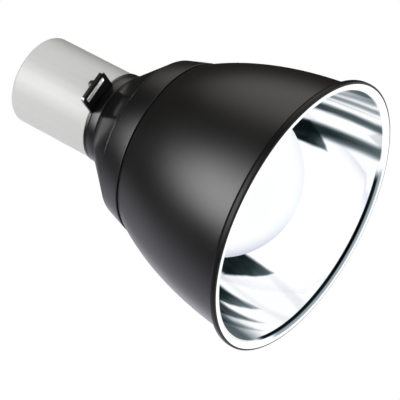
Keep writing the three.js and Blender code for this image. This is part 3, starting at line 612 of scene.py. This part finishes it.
def tube(name, path, radius, sides=20):
    """A round bar along a path, its frame carried along without twist, with rounded ends."""
    tangents = [(path[min(i + 1, len(path) - 1)] - path[max(i - 1, 0)]).normalized()
                for i in range(len(path))]
    side = tangents[0].orthogonal().normalized()
    vertices, faces = [], []
    for point, tangent in zip(path, tangents):
        side = (side - tangent * side.dot(tangent)).normalized()
        up = tangent.cross(side)
        for k in range(sides):
            turn = 2 * math.pi * k / sides
            vertices.append(point + radius * (math.cos(turn) * side + math.sin(turn) * up))
    for i in range(len(path) - 1):
        a, b = i * sides, (i + 1) * sides
        faces += [(a + k, a + (k + 1) % sides, b + (k + 1) % sides, b + k) for k in range(sides)]
    last = (len(path) - 1) * sides
    faces.append(tuple(range(sides)))
    faces.append(tuple(range(last + sides - 1, last - 1, -1)))
    return object_from(name, vertices, faces)


def round_the_axis(count, start):
    """Numbers from 1 and evenly spaced angles in degrees."""
    return [(k + 1, start + 360 / count * k) for k in range(count)]


# ---- shade ---------------------------------------------------------------------------------

def dome_radius(z):
    """The outer radius of the black wall at height z."""
    return DOME_RADIUS * math.sqrt(1 - ((z - DOME_CENTRE_Z) / DOME_SEMI_HEIGHT) ** 2)


def dome_curve(inset, low, high, steps):
    """The wall's outline moved inward by inset, from height low to height high."""
    heights = [low + (high - low) * k / steps for k in range(steps + 1)]
    return [(dome_radius(z) - inset, z) for z in heights]


def make_shade():
    """The black shade: rolled bead, thin groove, long curved wall and a tucked-in neck flange."""
    bead = filleted([(106.2, 1.2, 0), (106.2, 0.3, 0.2), (RIM_RADIUS, 0.3, 0.8),
                     (RIM_RADIUS, BEAD_TOP, 4.0), (101.05, BEAD_TOP + 0.05, 0.2),
                     (101.05, 7.6, 0.2), (101.3, 7.9, 0)], 8)
    wall = dome_curve(0, WALL_FOOT, 120.2, 44)
    neck = [(69.7, 121), (63.9, 139.1), (63.1, 140.6), (NECK_BORE, 140.6), (NECK_BORE, 139.6),
            (62.4, 139.6), (62.9, 139.0), (68.6, 121)]
    inside = dome_curve(SHEET, WALL_FOOT + SHEET, 119.6, 30)[::-1]
    lip = arc(LIP_CENTRE, LIP_CENTRE[1] - REFLECTOR_SHEET - SKIN_GAP, 180, 270, 8)
    obj = lathe("shade_shell", bead[1:] + wall + neck + inside + lip + [(106.2, 1.2)])
    finish_piece(obj, "black_paint", "lamp", "dome_shell")


def make_reflector():
    """The mirror liner: flat bright flange, rounded lip, wall and a drawn-in mouth at the top."""
    back = SHEET + SKIN_GAP
    front = back + REFLECTOR_SHEET
    wall_head = 112.5
    flange = filleted([(105.9, REFLECTOR_SHEET, 0.25), (105.9, 0, 0.25), (104.2, 0, 0)], 3)[:-1]
    lip = arc(LIP_CENTRE, LIP_CENTRE[1], 270, 180, 16)
    wall = dome_curve(front, WALL_FOOT, wall_head, 36)
    mouth = filleted([(70.5, 114.5, 0), (61.0, 127.0, 12), (38, 136.5, 0)], 10)
    mouth_back = filleted([(38, 137.3, 0), (61.6, 127.8, 12), (71.4, 114.5, 0)], 10)
    wall_back = dome_curve(back, WALL_FOOT, wall_head, 36)[::-1]
    lip_back = arc(LIP_CENTRE, LIP_CENTRE[1] - REFLECTOR_SHEET, 180, 270, 16)
    obj = lathe("mirror_reflector", flange + lip + wall + mouth + mouth_back + wall_back + lip_back)
    finish_piece(obj, "mirror_aluminium", "lamp", "reflector")


def make_neck():
    """The ring over the dome's shoulder, the glossy cone, and the short collar on top of it."""
    ring = filleted([(RING_RADIUS, RING_BOTTOM, 0.6), (65.2, 140.3, 2.6), (63.3, 142.2, 0.3),
                     (NECK_BORE, 142.2, 0.2), (NECK_BORE, 141.0, 0.2), (62.8, 141.0, 0.3),
                     (64.3, 139.6, 0.3), (RING_RADIUS - SHEET, RING_BOTTOM, 0.3)])
    finish_piece(lathe("neck_band", ring), "black_paint", "lamp", "vent_ring")

    inner_foot, inner_top = CONE_BOTTOM + SHEET, CONE_TOP - SHEET
    cone = filleted([(NECK_BORE, CONE_BOTTOM, 0.2), (CONE_RADIUS, CONE_BOTTOM, 0.35),
                     (38.4, CONE_TOP, 0.3), (STACK_BORE, CONE_TOP, 0.2), (STACK_BORE, inner_top, 0.2),
                     (37.8, inner_top, 0.2), (60.9, inner_foot, 0.2), (NECK_BORE, inner_foot, 0.2)])
    finish_piece(lathe("neck_funnel", cone), "black_paint", "lamp", "neck_cone", paint="gloss_black")

    collar = filleted([(STACK_BORE, COLLAR_BOTTOM, 0.3), (COLLAR_RADIUS, COLLAR_BOTTOM, 0.45),
                       (36.95, COLLAR_TOP, 0.45), (STACK_BORE, COLLAR_TOP, 0.3)])
    finish_piece(lathe("neck_collar", collar), "black_paint", "lamp", "collar")


# ---- hanging tab and socket housing --------------------------------------------------------

def is_bare_on_tab(centre, normal):
    """True on the tab's worn outer corners and on the walls of its slot."""
    near = 0.1
    corner = centre.y < TAB_CORNER - TAB_REACH and min(abs(normal.x), abs(normal.y)) > 0.35
    along = -SLOT_OUTER - near < centre.y < near - SLOT_INNER
    across = abs(centre.x) < SLOT_HALF_WIDTH + near
    return corner or (along and across and abs(normal.z) < 0.5)


def make_hanging_tab():
    """A flat steel ring with a slotted tab, its edges rounded by blanking."""
    shoulder = math.degrees(math.asin(TAB_HALF_WIDTH / HANGER_RADIUS))
    rim = arc((0, 0), HANGER_RADIUS, shoulder - 90, 270 - shoulder, 120)
    tab = filleted([(-TAB_HALF_WIDTH, -HANGER_RADIUS - 2, 0), (-TAB_HALF_WIDTH, -TAB_REACH, 2.8),
                    (TAB_HALF_WIDTH, -TAB_REACH, 2.8), (TAB_HALF_WIDTH, -HANGER_RADIUS - 2, 0)], 6)
    obj = prism("hanging_tab", rim + tab, HANGER_BOTTOM, HANGER_TOP)
    bore = prism("cutter_bore", circle(STACK_BORE, 96), HANGER_BOTTOM - 2, HANGER_TOP + 2)
    middle = (SLOT_INNER + SLOT_OUTER) / 2
    slot_outline = rectangle(SLOT_HALF_WIDTH, (SLOT_OUTER - SLOT_INNER) / 2, 0.9)
    slot = prism("cutter_slot", slot_outline, HANGER_BOTTOM - 2, HANGER_TOP + 2)
    moved(slot, (0, -middle, 0))
    bevelled(carve(obj, [bore, slot]), 0.35, 3, 60)
    bare = [face.index for face in obj.data.polygons if is_bare_on_tab(face.center / MM, face.normal)]
    moved(obj, z_turn=HANGER_AZIMUTH)
    finish_piece(obj, "black_paint", "lamp", "hanger_ring")
    obj.data.materials.append(MATERIALS["bare_edge"])
    for index in bare:
        obj.data.polygons[index].material_index = 1


def vent_cutter(angle):
    """A cutter for one curved slot through the housing's end."""
    outer = arc((0, 0), VENT_OUTER, -VENT_HALF_ANGLE, VENT_HALF_ANGLE, 10)
    inner = arc((0, 0), VENT_INNER, VENT_HALF_ANGLE, -VENT_HALF_ANGLE, 10)
    outline = outer + inner
    return moved(prism("cutter_vent", outline, TUBE_TOP - 3, TUBE_TOP + 3), z_turn=angle)


def make_housing():
    """The grey can: beaded open end, straight wall, rounded closed end with vents."""
    inner = TUBE_RADIUS - SHEET
    low = HANGER_TOP + 0.3
    outline = filleted([(STACK_BORE, low, 0.2), (36.35, low, 0.5), (36.35, low + 1.9, 0.35),
                        (TUBE_RADIUS, low + 2.2, 0.2), (TUBE_RADIUS, TUBE_TOP, TUBE_CORNER),
                        (5.3, TUBE_TOP, 0.3), (5.3, TUBE_TOP - SHEET, 0.2),
                        (inner, TUBE_TOP - SHEET, TUBE_CORNER - SHEET), (inner, low + SHEET, 0.3),
                        (STACK_BORE, low + SHEET, 0.2)], 8)
    cutters = [vent_cutter(angle) for _, angle in round_the_axis(VENTS, 0)]
    for _, angle in round_the_axis(HOUSING_SCREWS, HOUSING_SCREW_AZIMUTH):
        hole = prism("cutter_screw", circle(1.9, 24), 33, 38)
        cutters.append(moved(moved(hole, x_turn=90), (0, 0, HOUSING_SCREW_Z), z_turn=angle))
    obj = carve(moved(lathe("housing_can", outline), z_turn=OFF_GRID), cutters)
    finish_piece(obj, "grey_paint", "lamp", "socket_housing")


def make_housing_screws():
    """Round-head screws with a cross recess, drawn along Z by their distance from the lamp's axis."""
    for number, angle in round_the_axis(HOUSING_SCREWS, HOUSING_SCREW_AZIMUTH):
        head = filleted([(0, 38.35, 0), (1.2, 38.35, 0.4), (3.2, 37.2, 0.8), (3.2, 36.2, 0.2),
                         (1.5, 36.2, 0.1), (1.5, 30.5, 0.3), (0, 30.5, 0)], 5)
        screw = lathe(f"round_screw_{number}", head, SMALL_SIDES)
        blades = [prism("cutter_cross", outline, 37.3, 39) for outline in
                  (rectangle(0.35, 1.7, 0.1), rectangle(1.7, 0.35, 0.1))]
        carve(screw, blades)
        moved(moved(screw, x_turn=90), (0, 0, HOUSING_SCREW_Z), z_turn=angle)
        finish_piece(screw, "dark_screw", "lamp", f"housing_screw_{number}")


# ---- bulb ----------------------------------------------------------------------------------

def make_bulb():
    """The hollow opal globe with its neck, and the white base that narrows to the cap."""
    centre = (0, GLOBE_CENTRE_Z)
    neck_angle = 55
    outer = arc(centre, GLOBE_RADIUS, -90, neck_angle, 60)
    inner = arc(centre, GLOBE_RADIUS - GLOBE_WALL, neck_angle, -90, 60)
    outer[0] = (0, outer[0][1])
    inner[-1] = (0, inner[-1][1])
    neck = filleted([(30.6, 134.6, 0), (27.6, 138.9, 4), (26.7, 142.2, 0.3), (25.5, 142.2, 0.2),
                     (26.4, 138.4, 4), (29.6, 133.8, 0)], 5)
    obj = lathe("globe_skin", outer + neck + inner, 128)
    finish_piece(obj, "opal_plastic", "bulb", "bulb_globe")
    base = filleted([(25.2, 142.6, 0.2), (26.7, 142.6, 0.4), (25.4, 148, 6), (21.8, 154.5, 6),
                     (13.3, 163.1, 1.5), (13.1, 163.7, 0.1), (11.5, 163.7, 0), (11.5, 169, 0.2),
                     (10.2, 169, 0.2), (10.2, 162.6, 0.5), (20.2, 153.6, 4), (23.8, 147.5, 4),
                     (25.2, 144.8, 0.3)], 6)
    finish_piece(lathe("bulb_base_shell", base, 96), "white_plastic", "bulb", "bulb_housing")


# ---- cord, switch and plug -----------------------------------------------------------------

def make_grommet():
    """The cord's strain relief: a ribbed sleeve with a flange on each side of the housing's end."""
    bore = CORD_RADIUS + 0.15
    ribs = []
    for k in range(4):
        z = 262.6 - 0.75 * k
        width = 5.2 + 0.3 * k
        ribs += [(width, z, 0.15), (width + 0.3, z - 0.2, 0.1), (width + 0.3, z - 0.45, 0.1),
                 (width, z - 0.6, 0.1)]
    outline = filleted([(bore, 252.5, 0.3), (6.2, 252.5, 0.4), (6.8, 256.6, 0.2), (4.9, 256.6, 0.1),
                        (4.9, 258.4, 0.1), (8.5, 258.4, 0.3), (8.5, 260.0, 0.5)] + ribs[::-1]
                       + [(4.9, 264.2, 0.3), (bore, 264.2, 0.2)], 4)
    finish_piece(lathe("cord_gland", outline, 64), "black_rubber", "lamp", "cord_grommet")


def lamp_side_cord():
    """From inside the housing, up through its end, over in two bends and down to the switch."""
    first_bend, second_bend, rise_top = 14, 20, 262
    ridge = rise_top + first_bend
    path = [Vector((0, 0, z)) for z in (249, 256, rise_top)]
    for degrees in range(15, 91, 15):
        turn = math.radians(degrees)
        path.append(Vector((0, first_bend * (1 - math.cos(turn)), rise_top + first_bend * math.sin(turn))))
    for degrees in range(0, 91, 15):
        turn = math.radians(degrees)
        path.append(Vector((0, CORD_DROP_Y - second_bend + second_bend * math.sin(turn),
                            ridge - second_bend * (1 - math.cos(turn)))))
    path += [Vector((0, CORD_DROP_Y, z)) for z in (250, 240, SWITCH_HIGH.z - 8)]
    return path


def coil_point(degrees):
    """A point on the oval coil: 0 degrees is its side at -X, 90 its top and 270 its bottom."""
    turn = math.radians(degrees)
    return (-COIL_HALF_WIDTH * math.cos(turn),
            COIL_START_Y + COIL_PITCH * (degrees - COIL_START_DEGREES) / 360,
            COIL_CENTRE_Z + COIL_HALF_HEIGHT * math.sin(turn))


def plug_side_cord():
    """From the switch down past the neck, four times round the coil, and in to the hanging plug."""
    points = [(0, CORD_DROP_Y, SWITCH_LOW.z + 8), (0, CORD_DROP_Y, SWITCH_LOW.z + 3),
              (0, CORD_DROP_Y, SWITCH_LOW.z - 6), (0, 56.5, 165), (-0.8, 59.5, 157), (-2.5, 63.5, 149),
              (-6, 69, 141.5), (-13, 73, 134.5), (-22, 75.6, 131.2), (-29, 76, 133.8)]
    steps = round((COIL_END_DEGREES - COIL_START_DEGREES) / 22.5)
    for i in range(steps + 1):
        points.append(coil_point(COIL_START_DEGREES + 22.5 * i))
    points += [(-37.5, 104, 193), (-28, 102.5, 203), (-16, 98, 208), (-6.5, 92.3, 207),
               (-0.8, 88.8, 200.5), (0, PLUG_Y, 193.5), (0, PLUG_Y, 187), (0, PLUG_Y, 180)]
    return smooth_path(points, 5)


def make_cords():
    """The cord on each side of the switch."""
    upper = tube("cord_upper", smooth_path(lamp_side_cord(), 3), CORD_RADIUS)
    finish_piece(upper, "black_rubber", "lamp", "cord_to_switch")
    lower = tube("cord_coil", plug_side_cord(), CORD_RADIUS)
    finish_piece(lower, "black_rubber", "lamp", "cord_to_plug")


def make_tie():
    """The strap that holds the coil's turns together at the bottom."""
    half = (high_corner("cord_tie") - low_corner("cord_tie")) / 2
    band = 1.0            # thickness of the strap
    outer = rectangle(half.y, half.z, 4.2)
    obj = prism("cord_strap", outer, -half.x, half.x)
    hole = prism("cutter_strap", rectangle(half.y - band, half.z - band, 3.4), -half.x - 2, half.x + 2)
    bevelled(carve(obj, [hole]), 0.3, 2, 60)
    obj.data.transform(Matrix.Rotation(math.pi / 2, 4, "Y") @ Matrix.Rotation(math.pi / 2, 4, "Z"))
    moved(obj, centre_of("cord_tie"))
    finish_piece(obj, "black_plastic", "lamp", "cord_tie")


def tray(name, split, face, edge):
    """Half of the switch's case: a tray from its open split plane to its face, the face edge rounded."""
    half_x = SWITCH_HIGH.x
    half_z = (SWITCH_HIGH.z - SWITCH_LOW.z) / 2
    sign = 1 if face > split else -1
    rings = []
    steps = 6
    for k in range(steps + 1):
        turn = math.pi / 2 * k / steps
        inset = edge * (1 - math.cos(turn))
        rings.append((inset, face - sign * edge + sign * edge * math.sin(turn)))
    outer = [(0.0, split)] + rings
    inner = [(SWITCH_WALL, face - sign * SWITCH_WALL), (SWITCH_WALL, split)]
    vertices, faces, loops = [], [], []
    for inset, y in outer + inner:
        outline = rectangle(half_x - inset, half_z - inset, max(SWITCH_CORNER - inset, 0.5))
        loops.append([len(vertices) + k for k in range(len(outline))])
        vertices += [(x, y, z) for x, z in outline]
    count = len(loops[0])
    bands = list(zip(loops[:len(outer)], loops[1:len(outer)]))
    bands += [(loops[-2], loops[-1]), (loops[-1], loops[0])]
    for a, b in bands:
        faces += [(a[k], a[(k + 1) % count], b[(k + 1) % count], b[k]) for k in range(count)]
    faces.append(tuple(loops[len(outer) - 1]))
    faces.append(tuple(loops[-2]))
    return object_from(name, vertices, faces)


def switch_cord_hole():
    """A cutter for the cord's way through both ends of the switch."""
    hole = prism("cutter_cord", circle(CORD_RADIUS + 0.25, 32), SWITCH_LOW.z - 2, SWITCH_HIGH.z + 2)
    return moved(hole, (0, CORD_DROP_Y, 0))


def make_switch():
    """The in-line switch: a back half with two screw wells and a front half with the rocker's window."""
    middle = (SWITCH_HIGH.z + SWITCH_LOW.z) / 2
    seam = 0.15
    base = tray("switch_back_half", SWITCH_SPLIT_Y - seam, SWITCH_LOW.y, 2.0)
    moved(base, (0, 0, middle))
    wells = []
    for number in (1, 2):
        screw = centre_of(f"switch_screw_{number}")
        well = prism("cutter_well", circle(2.6, 24), -SWITCH_LOW.y - 2, -SWITCH_LOW.y + 2)
        wells.append(moved(moved(well, x_turn=90), (screw.x, 0, screw.z)))
    carve(base, [switch_cord_hole()] + wells)
    finish_piece(base, "black_plastic", "lamp", "switch_base")

    cover = tray("switch_front_half", SWITCH_SPLIT_Y + seam, SWITCH_HIGH.y, 2.4)
    moved(cover, (0, 0, middle))
    window = prism("cutter_window", rectangle(6.5, 11.5, 0.8), -SWITCH_HIGH.y - 3, -SWITCH_HIGH.y + 4)
    moved(moved(window, x_turn=90), (0, 0, ROCKER_Z))
    carve(cover, [switch_cord_hole(), window])
    finish_piece(cover, "black_plastic", "lamp", "switch_cover")


def rocker_frame(obj):
    """Lays an outline drawn in Y and Z on the rocker's pivot at its rest tilt."""
    tilt = Matrix.Rotation(math.radians(-ROCKER_REST_TILT), 4, "X")
    obj.data.transform(tilt @ Matrix.Rotation(math.pi / 2, 4, "Y"))
    return moved(obj, (0, ROCKER_PIVOT_Y, ROCKER_Z))


def make_rocker():
    """The rocker: a wedge with a shallow concave top that pivots on its pin, worn round at the edges."""
    length, width = ROCKER_HALF_LENGTH, ROCKER_HALF_WIDTH
    steps = 24
    along = [length - 2 * length * k / steps for k in range(steps + 1)]
    crown = [(x, 5.6 + (abs(x) / length) ** 1.6) for x in along]
    underside = [(-length, 2.6), (-2.2, -2.4), (2.2, -2.4), (length, 2.6)]
    obj = bevelled(prism("rocker_key", underside + crown, -width, width), 0.5, 3, 50)
    bore = prism("cutter_bore", circle(1.6, 24), -width - 1, width + 1)
    carve(obj, [bore])
    rocker_frame(obj)
    finish_piece(obj, "black_plastic", "rocker", "switch_rocker")


def plug_outline():
    """The plug's half section, drawn upward from its face: body, ribbed grip and sleeve."""
    ribs = []
    for k in range(6):
        z = 19.5 + 2.0 * k
        width = 15.6 - 0.85 * k
        ribs += [(width, z, 0.2), (width + 0.5, z + 0.3, 0.2), (width + 0.3, z + 1.1, 0.2),
                 (width - 0.5, z + 1.4, 0.2)]
    body = [(0, 0, 0), (17.4, 0, 0.6), (18.4, 1.0, 0.4), (18.4, 11, 1.0), (16.3, 13.2, 0.6),
            (16.2, 18, 0.4)]
    sleeve = [(8.6, 33.5, 0.8), (5.4, 37, 0.8), (4.6, 46, 0.4), (3.5, 46, 0.1), (3.5, 31.5, 0.2),
              (0, 31.5, 0)]
    return filleted(body + ribs + sleeve, 4)


def make_plug():
    """The moulded round plug, with holes for its pins and a notch on each side, and the two pins."""
    obj = moved(lathe("plug_grip", plug_outline(), 96), z_turn=OFF_GRID)
    cutters = []
    for side in (-1, 1):
        hole = prism("cutter_pin", circle(2.55, 32), -1, 9)
        cutters.append(moved(hole, (side * PIN_OFFSET, 0, 0)))
        groove = prism("cutter_groove", rectangle(3.2, 2.5, 0.4), -1, 12)
        cutters.append(moved(groove, (0, side * 18, 0)))
    carve(obj, cutters)
    moved(obj, (0, PLUG_Y, PLUG_FACE_Z))
    finish_piece(obj, "black_plastic", "lamp", "plug_body")
    for number, side in ((1, 1), (2, -1)):
        pin = filleted([(0, -PIN_LENGTH, 0), (2.4, -PIN_LENGTH, 1.5), (2.4, 8.6, 0.3), (0, 8.6, 0)], 8)
        obj = moved(lathe(f"contact_pin_{number}", pin, 40), (side * PIN_OFFSET, PLUG_Y, PLUG_FACE_Z))
        finish_piece(obj, "nickel", "lamp", f"plug_pin_{number}")


# ---- CAD nodes that stay as they are -------------------------------------------------------

def paint_cad_nodes():
    """Gives every CAD node the finish of its slot."""
    slots = {row["node"]: row["material_slot"] for row in frame["record"]["subparts"]}
    for name, obj in frame["nodes"].items():
        obj.data.materials.clear()
        obj.data.materials.append(MATERIALS[slots[name]])


# ---- stage ---------------------------------------------------------------------------------

def make_floor():
    """A pale floor under the rim, seen only from above, so that a low camera looks past it."""
    size = 6.0
    mesh = bpy.data.meshes.new("floor")
    corners = [(-size, -size, 0), (size, -size, 0), (size, size, 0), (-size, size, 0)]
    mesh.from_pydata(corners, [], [(0, 1, 2, 3)])
    floor = bpy.data.objects.new("floor", mesh)
    floor.location = (0, 0, -0.0004)
    bpy.context.scene.collection.objects.link(floor)
    material, tree = new_material("pale_floor")
    shade = mix_colour(tree, noise(tree, 6, 2), colour(0.78, 0.78, 0.775), colour(0.82, 0.82, 0.815))
    matt = node(tree, "BsdfPrincipled", {"Base Color": shade, "Roughness": 0.8})
    clear = node(tree, "BsdfTransparent")
    below = node(tree, "NewGeometry").outputs["Backfacing"]
    mixed = node(tree, "MixShader", {0: below, 1: matt.outputs[0], 2: clear.outputs[0]})
    surface(tree, mixed)
    floor.data.materials.append(material)
    floor.visible_shadow = False
    floor.visible_glossy = False
    floor.visible_diffuse = False
    floor.visible_transmission = False


ROOM = colour(0.02, 0.019, 0.017)
TABLE = colour(1.1, 1.12, 1.14)

# Each soft box of the studio round the lamp: direction, half widths in x, y, z, softness, brightness.
SOFT_BOXES = (
    ((-0.23, -0.79, 0.58), (0.35, 0.28, 0.36), 0.75, colour(8.2, 8.15, 8.3)),
    ((-0.70, 0.34, 0.60), (0.38, 0.40, 0.38), 0.7, colour(0.80, 0.80, 0.90)),
    ((-0.40, 0.84, 0.42), (0.38, 0.26, 0.28), 0.7, colour(1.25, 1.25, 1.36)),
    ((0.84, -0.05, 0.52), (0.30, 0.40, 0.36), 0.6, colour(1.5, 1.46, 1.40)),
)
# The dark patch round the camera, as direction, half widths and softness
CAMERA_SHADE = ((0, -0.90, -0.40), (0.50, 0.9, 0.34), 0.3)


def patch(tree, way, centre, half, soft):
    """1 inside an ellipsoid round a direction, falling smoothly to 0 outside it."""
    offset = node(tree, "VectorMath", {0: way, 1: centre}, operation="SUBTRACT").outputs["Vector"]
    scaled = node(tree, "VectorMath", {0: offset, 1: tuple(1 / h for h in half)},
                  operation="MULTIPLY").outputs["Vector"]
    length = node(tree, "VectorMath", {0: scaled}, operation="LENGTH").outputs["Value"]
    return smooth_step(tree, length, 1 + soft, 1 - soft)


def make_world():
    """White to the camera; to everything else a dark studio with soft boxes over a white table."""
    world = bpy.data.worlds.new("studio")
    bpy.context.scene.world = world
    world.use_nodes = True
    tree = world.node_tree
    tree.nodes.clear()
    way = node(tree, "TexCoord").outputs["Generated"]
    height = node(tree, "SeparateXYZ", {0: way}).outputs["Z"]
    light = mix_colour(tree, smooth_step(tree, height, 0.04, -0.10), ROOM, TABLE)
    light = mix_colour(tree, patch(tree, way, *CAMERA_SHADE), light, colour(0.01, 0.01, 0.012))
    for centre, half, soft, bright in SOFT_BOXES:
        light = mix_colour(tree, patch(tree, way, centre, half, soft), light, bright)
    seen = node(tree, "Background", {"Color": colour(1, 1, 1), "Strength": 1.0})
    lit = node(tree, "Background", {"Color": light, "Strength": 1.0})
    camera_ray = node(tree, "LightPath").outputs["Is Camera Ray"]
    mixed = node(tree, "MixShader", {0: camera_ray, 1: lit.outputs[0], 2: seen.outputs[0]})
    output = node(tree, "OutputWorld")
    tree.links.new(mixed.outputs[0], output.inputs["Surface"])


CAMERA_TARGET = Vector((-24.6, 0, 83.6)) * MM
CAMERA_DISTANCE = 1.4628              # metres
CAMERA_ELEVATION = math.radians(-27.35)
CAMERA_ROLL = math.radians(-61.76)
CAMERA_LENS = 176.9                   # millimetres, on a frame 36 mm wide


def make_camera():
    """Below the rim plane, looking up past the near rim, rolled so that the housing is top left."""
    data = bpy.data.cameras.new("camera")
    data.lens = CAMERA_LENS
    data.sensor_width = 36
    camera = bpy.data.objects.new("camera", data)
    bpy.context.scene.collection.objects.link(camera)
    back = Vector((0, -math.cos(CAMERA_ELEVATION), math.sin(CAMERA_ELEVATION)))
    level = Matrix((Vector((1, 0, 0)), back.cross(Vector((1, 0, 0))), back)).transposed()
    turned = level @ Matrix.Rotation(CAMERA_ROLL, 3, "Z")
    camera.matrix_world = Matrix.LocRotScale(CAMERA_TARGET + back * CAMERA_DISTANCE, turned, None)
    bpy.context.scene.camera = camera


make_shade()
make_reflector()
make_neck()
make_hanging_tab()
make_housing()
make_housing_screws()
make_bulb()
make_grommet()
make_cords()
make_tie()
make_switch()
make_rocker()
make_plug()
paint_cad_nodes()
make_floor()
make_world()
make_camera()
bpy.context.scene.view_settings.view_transform = "Standard"
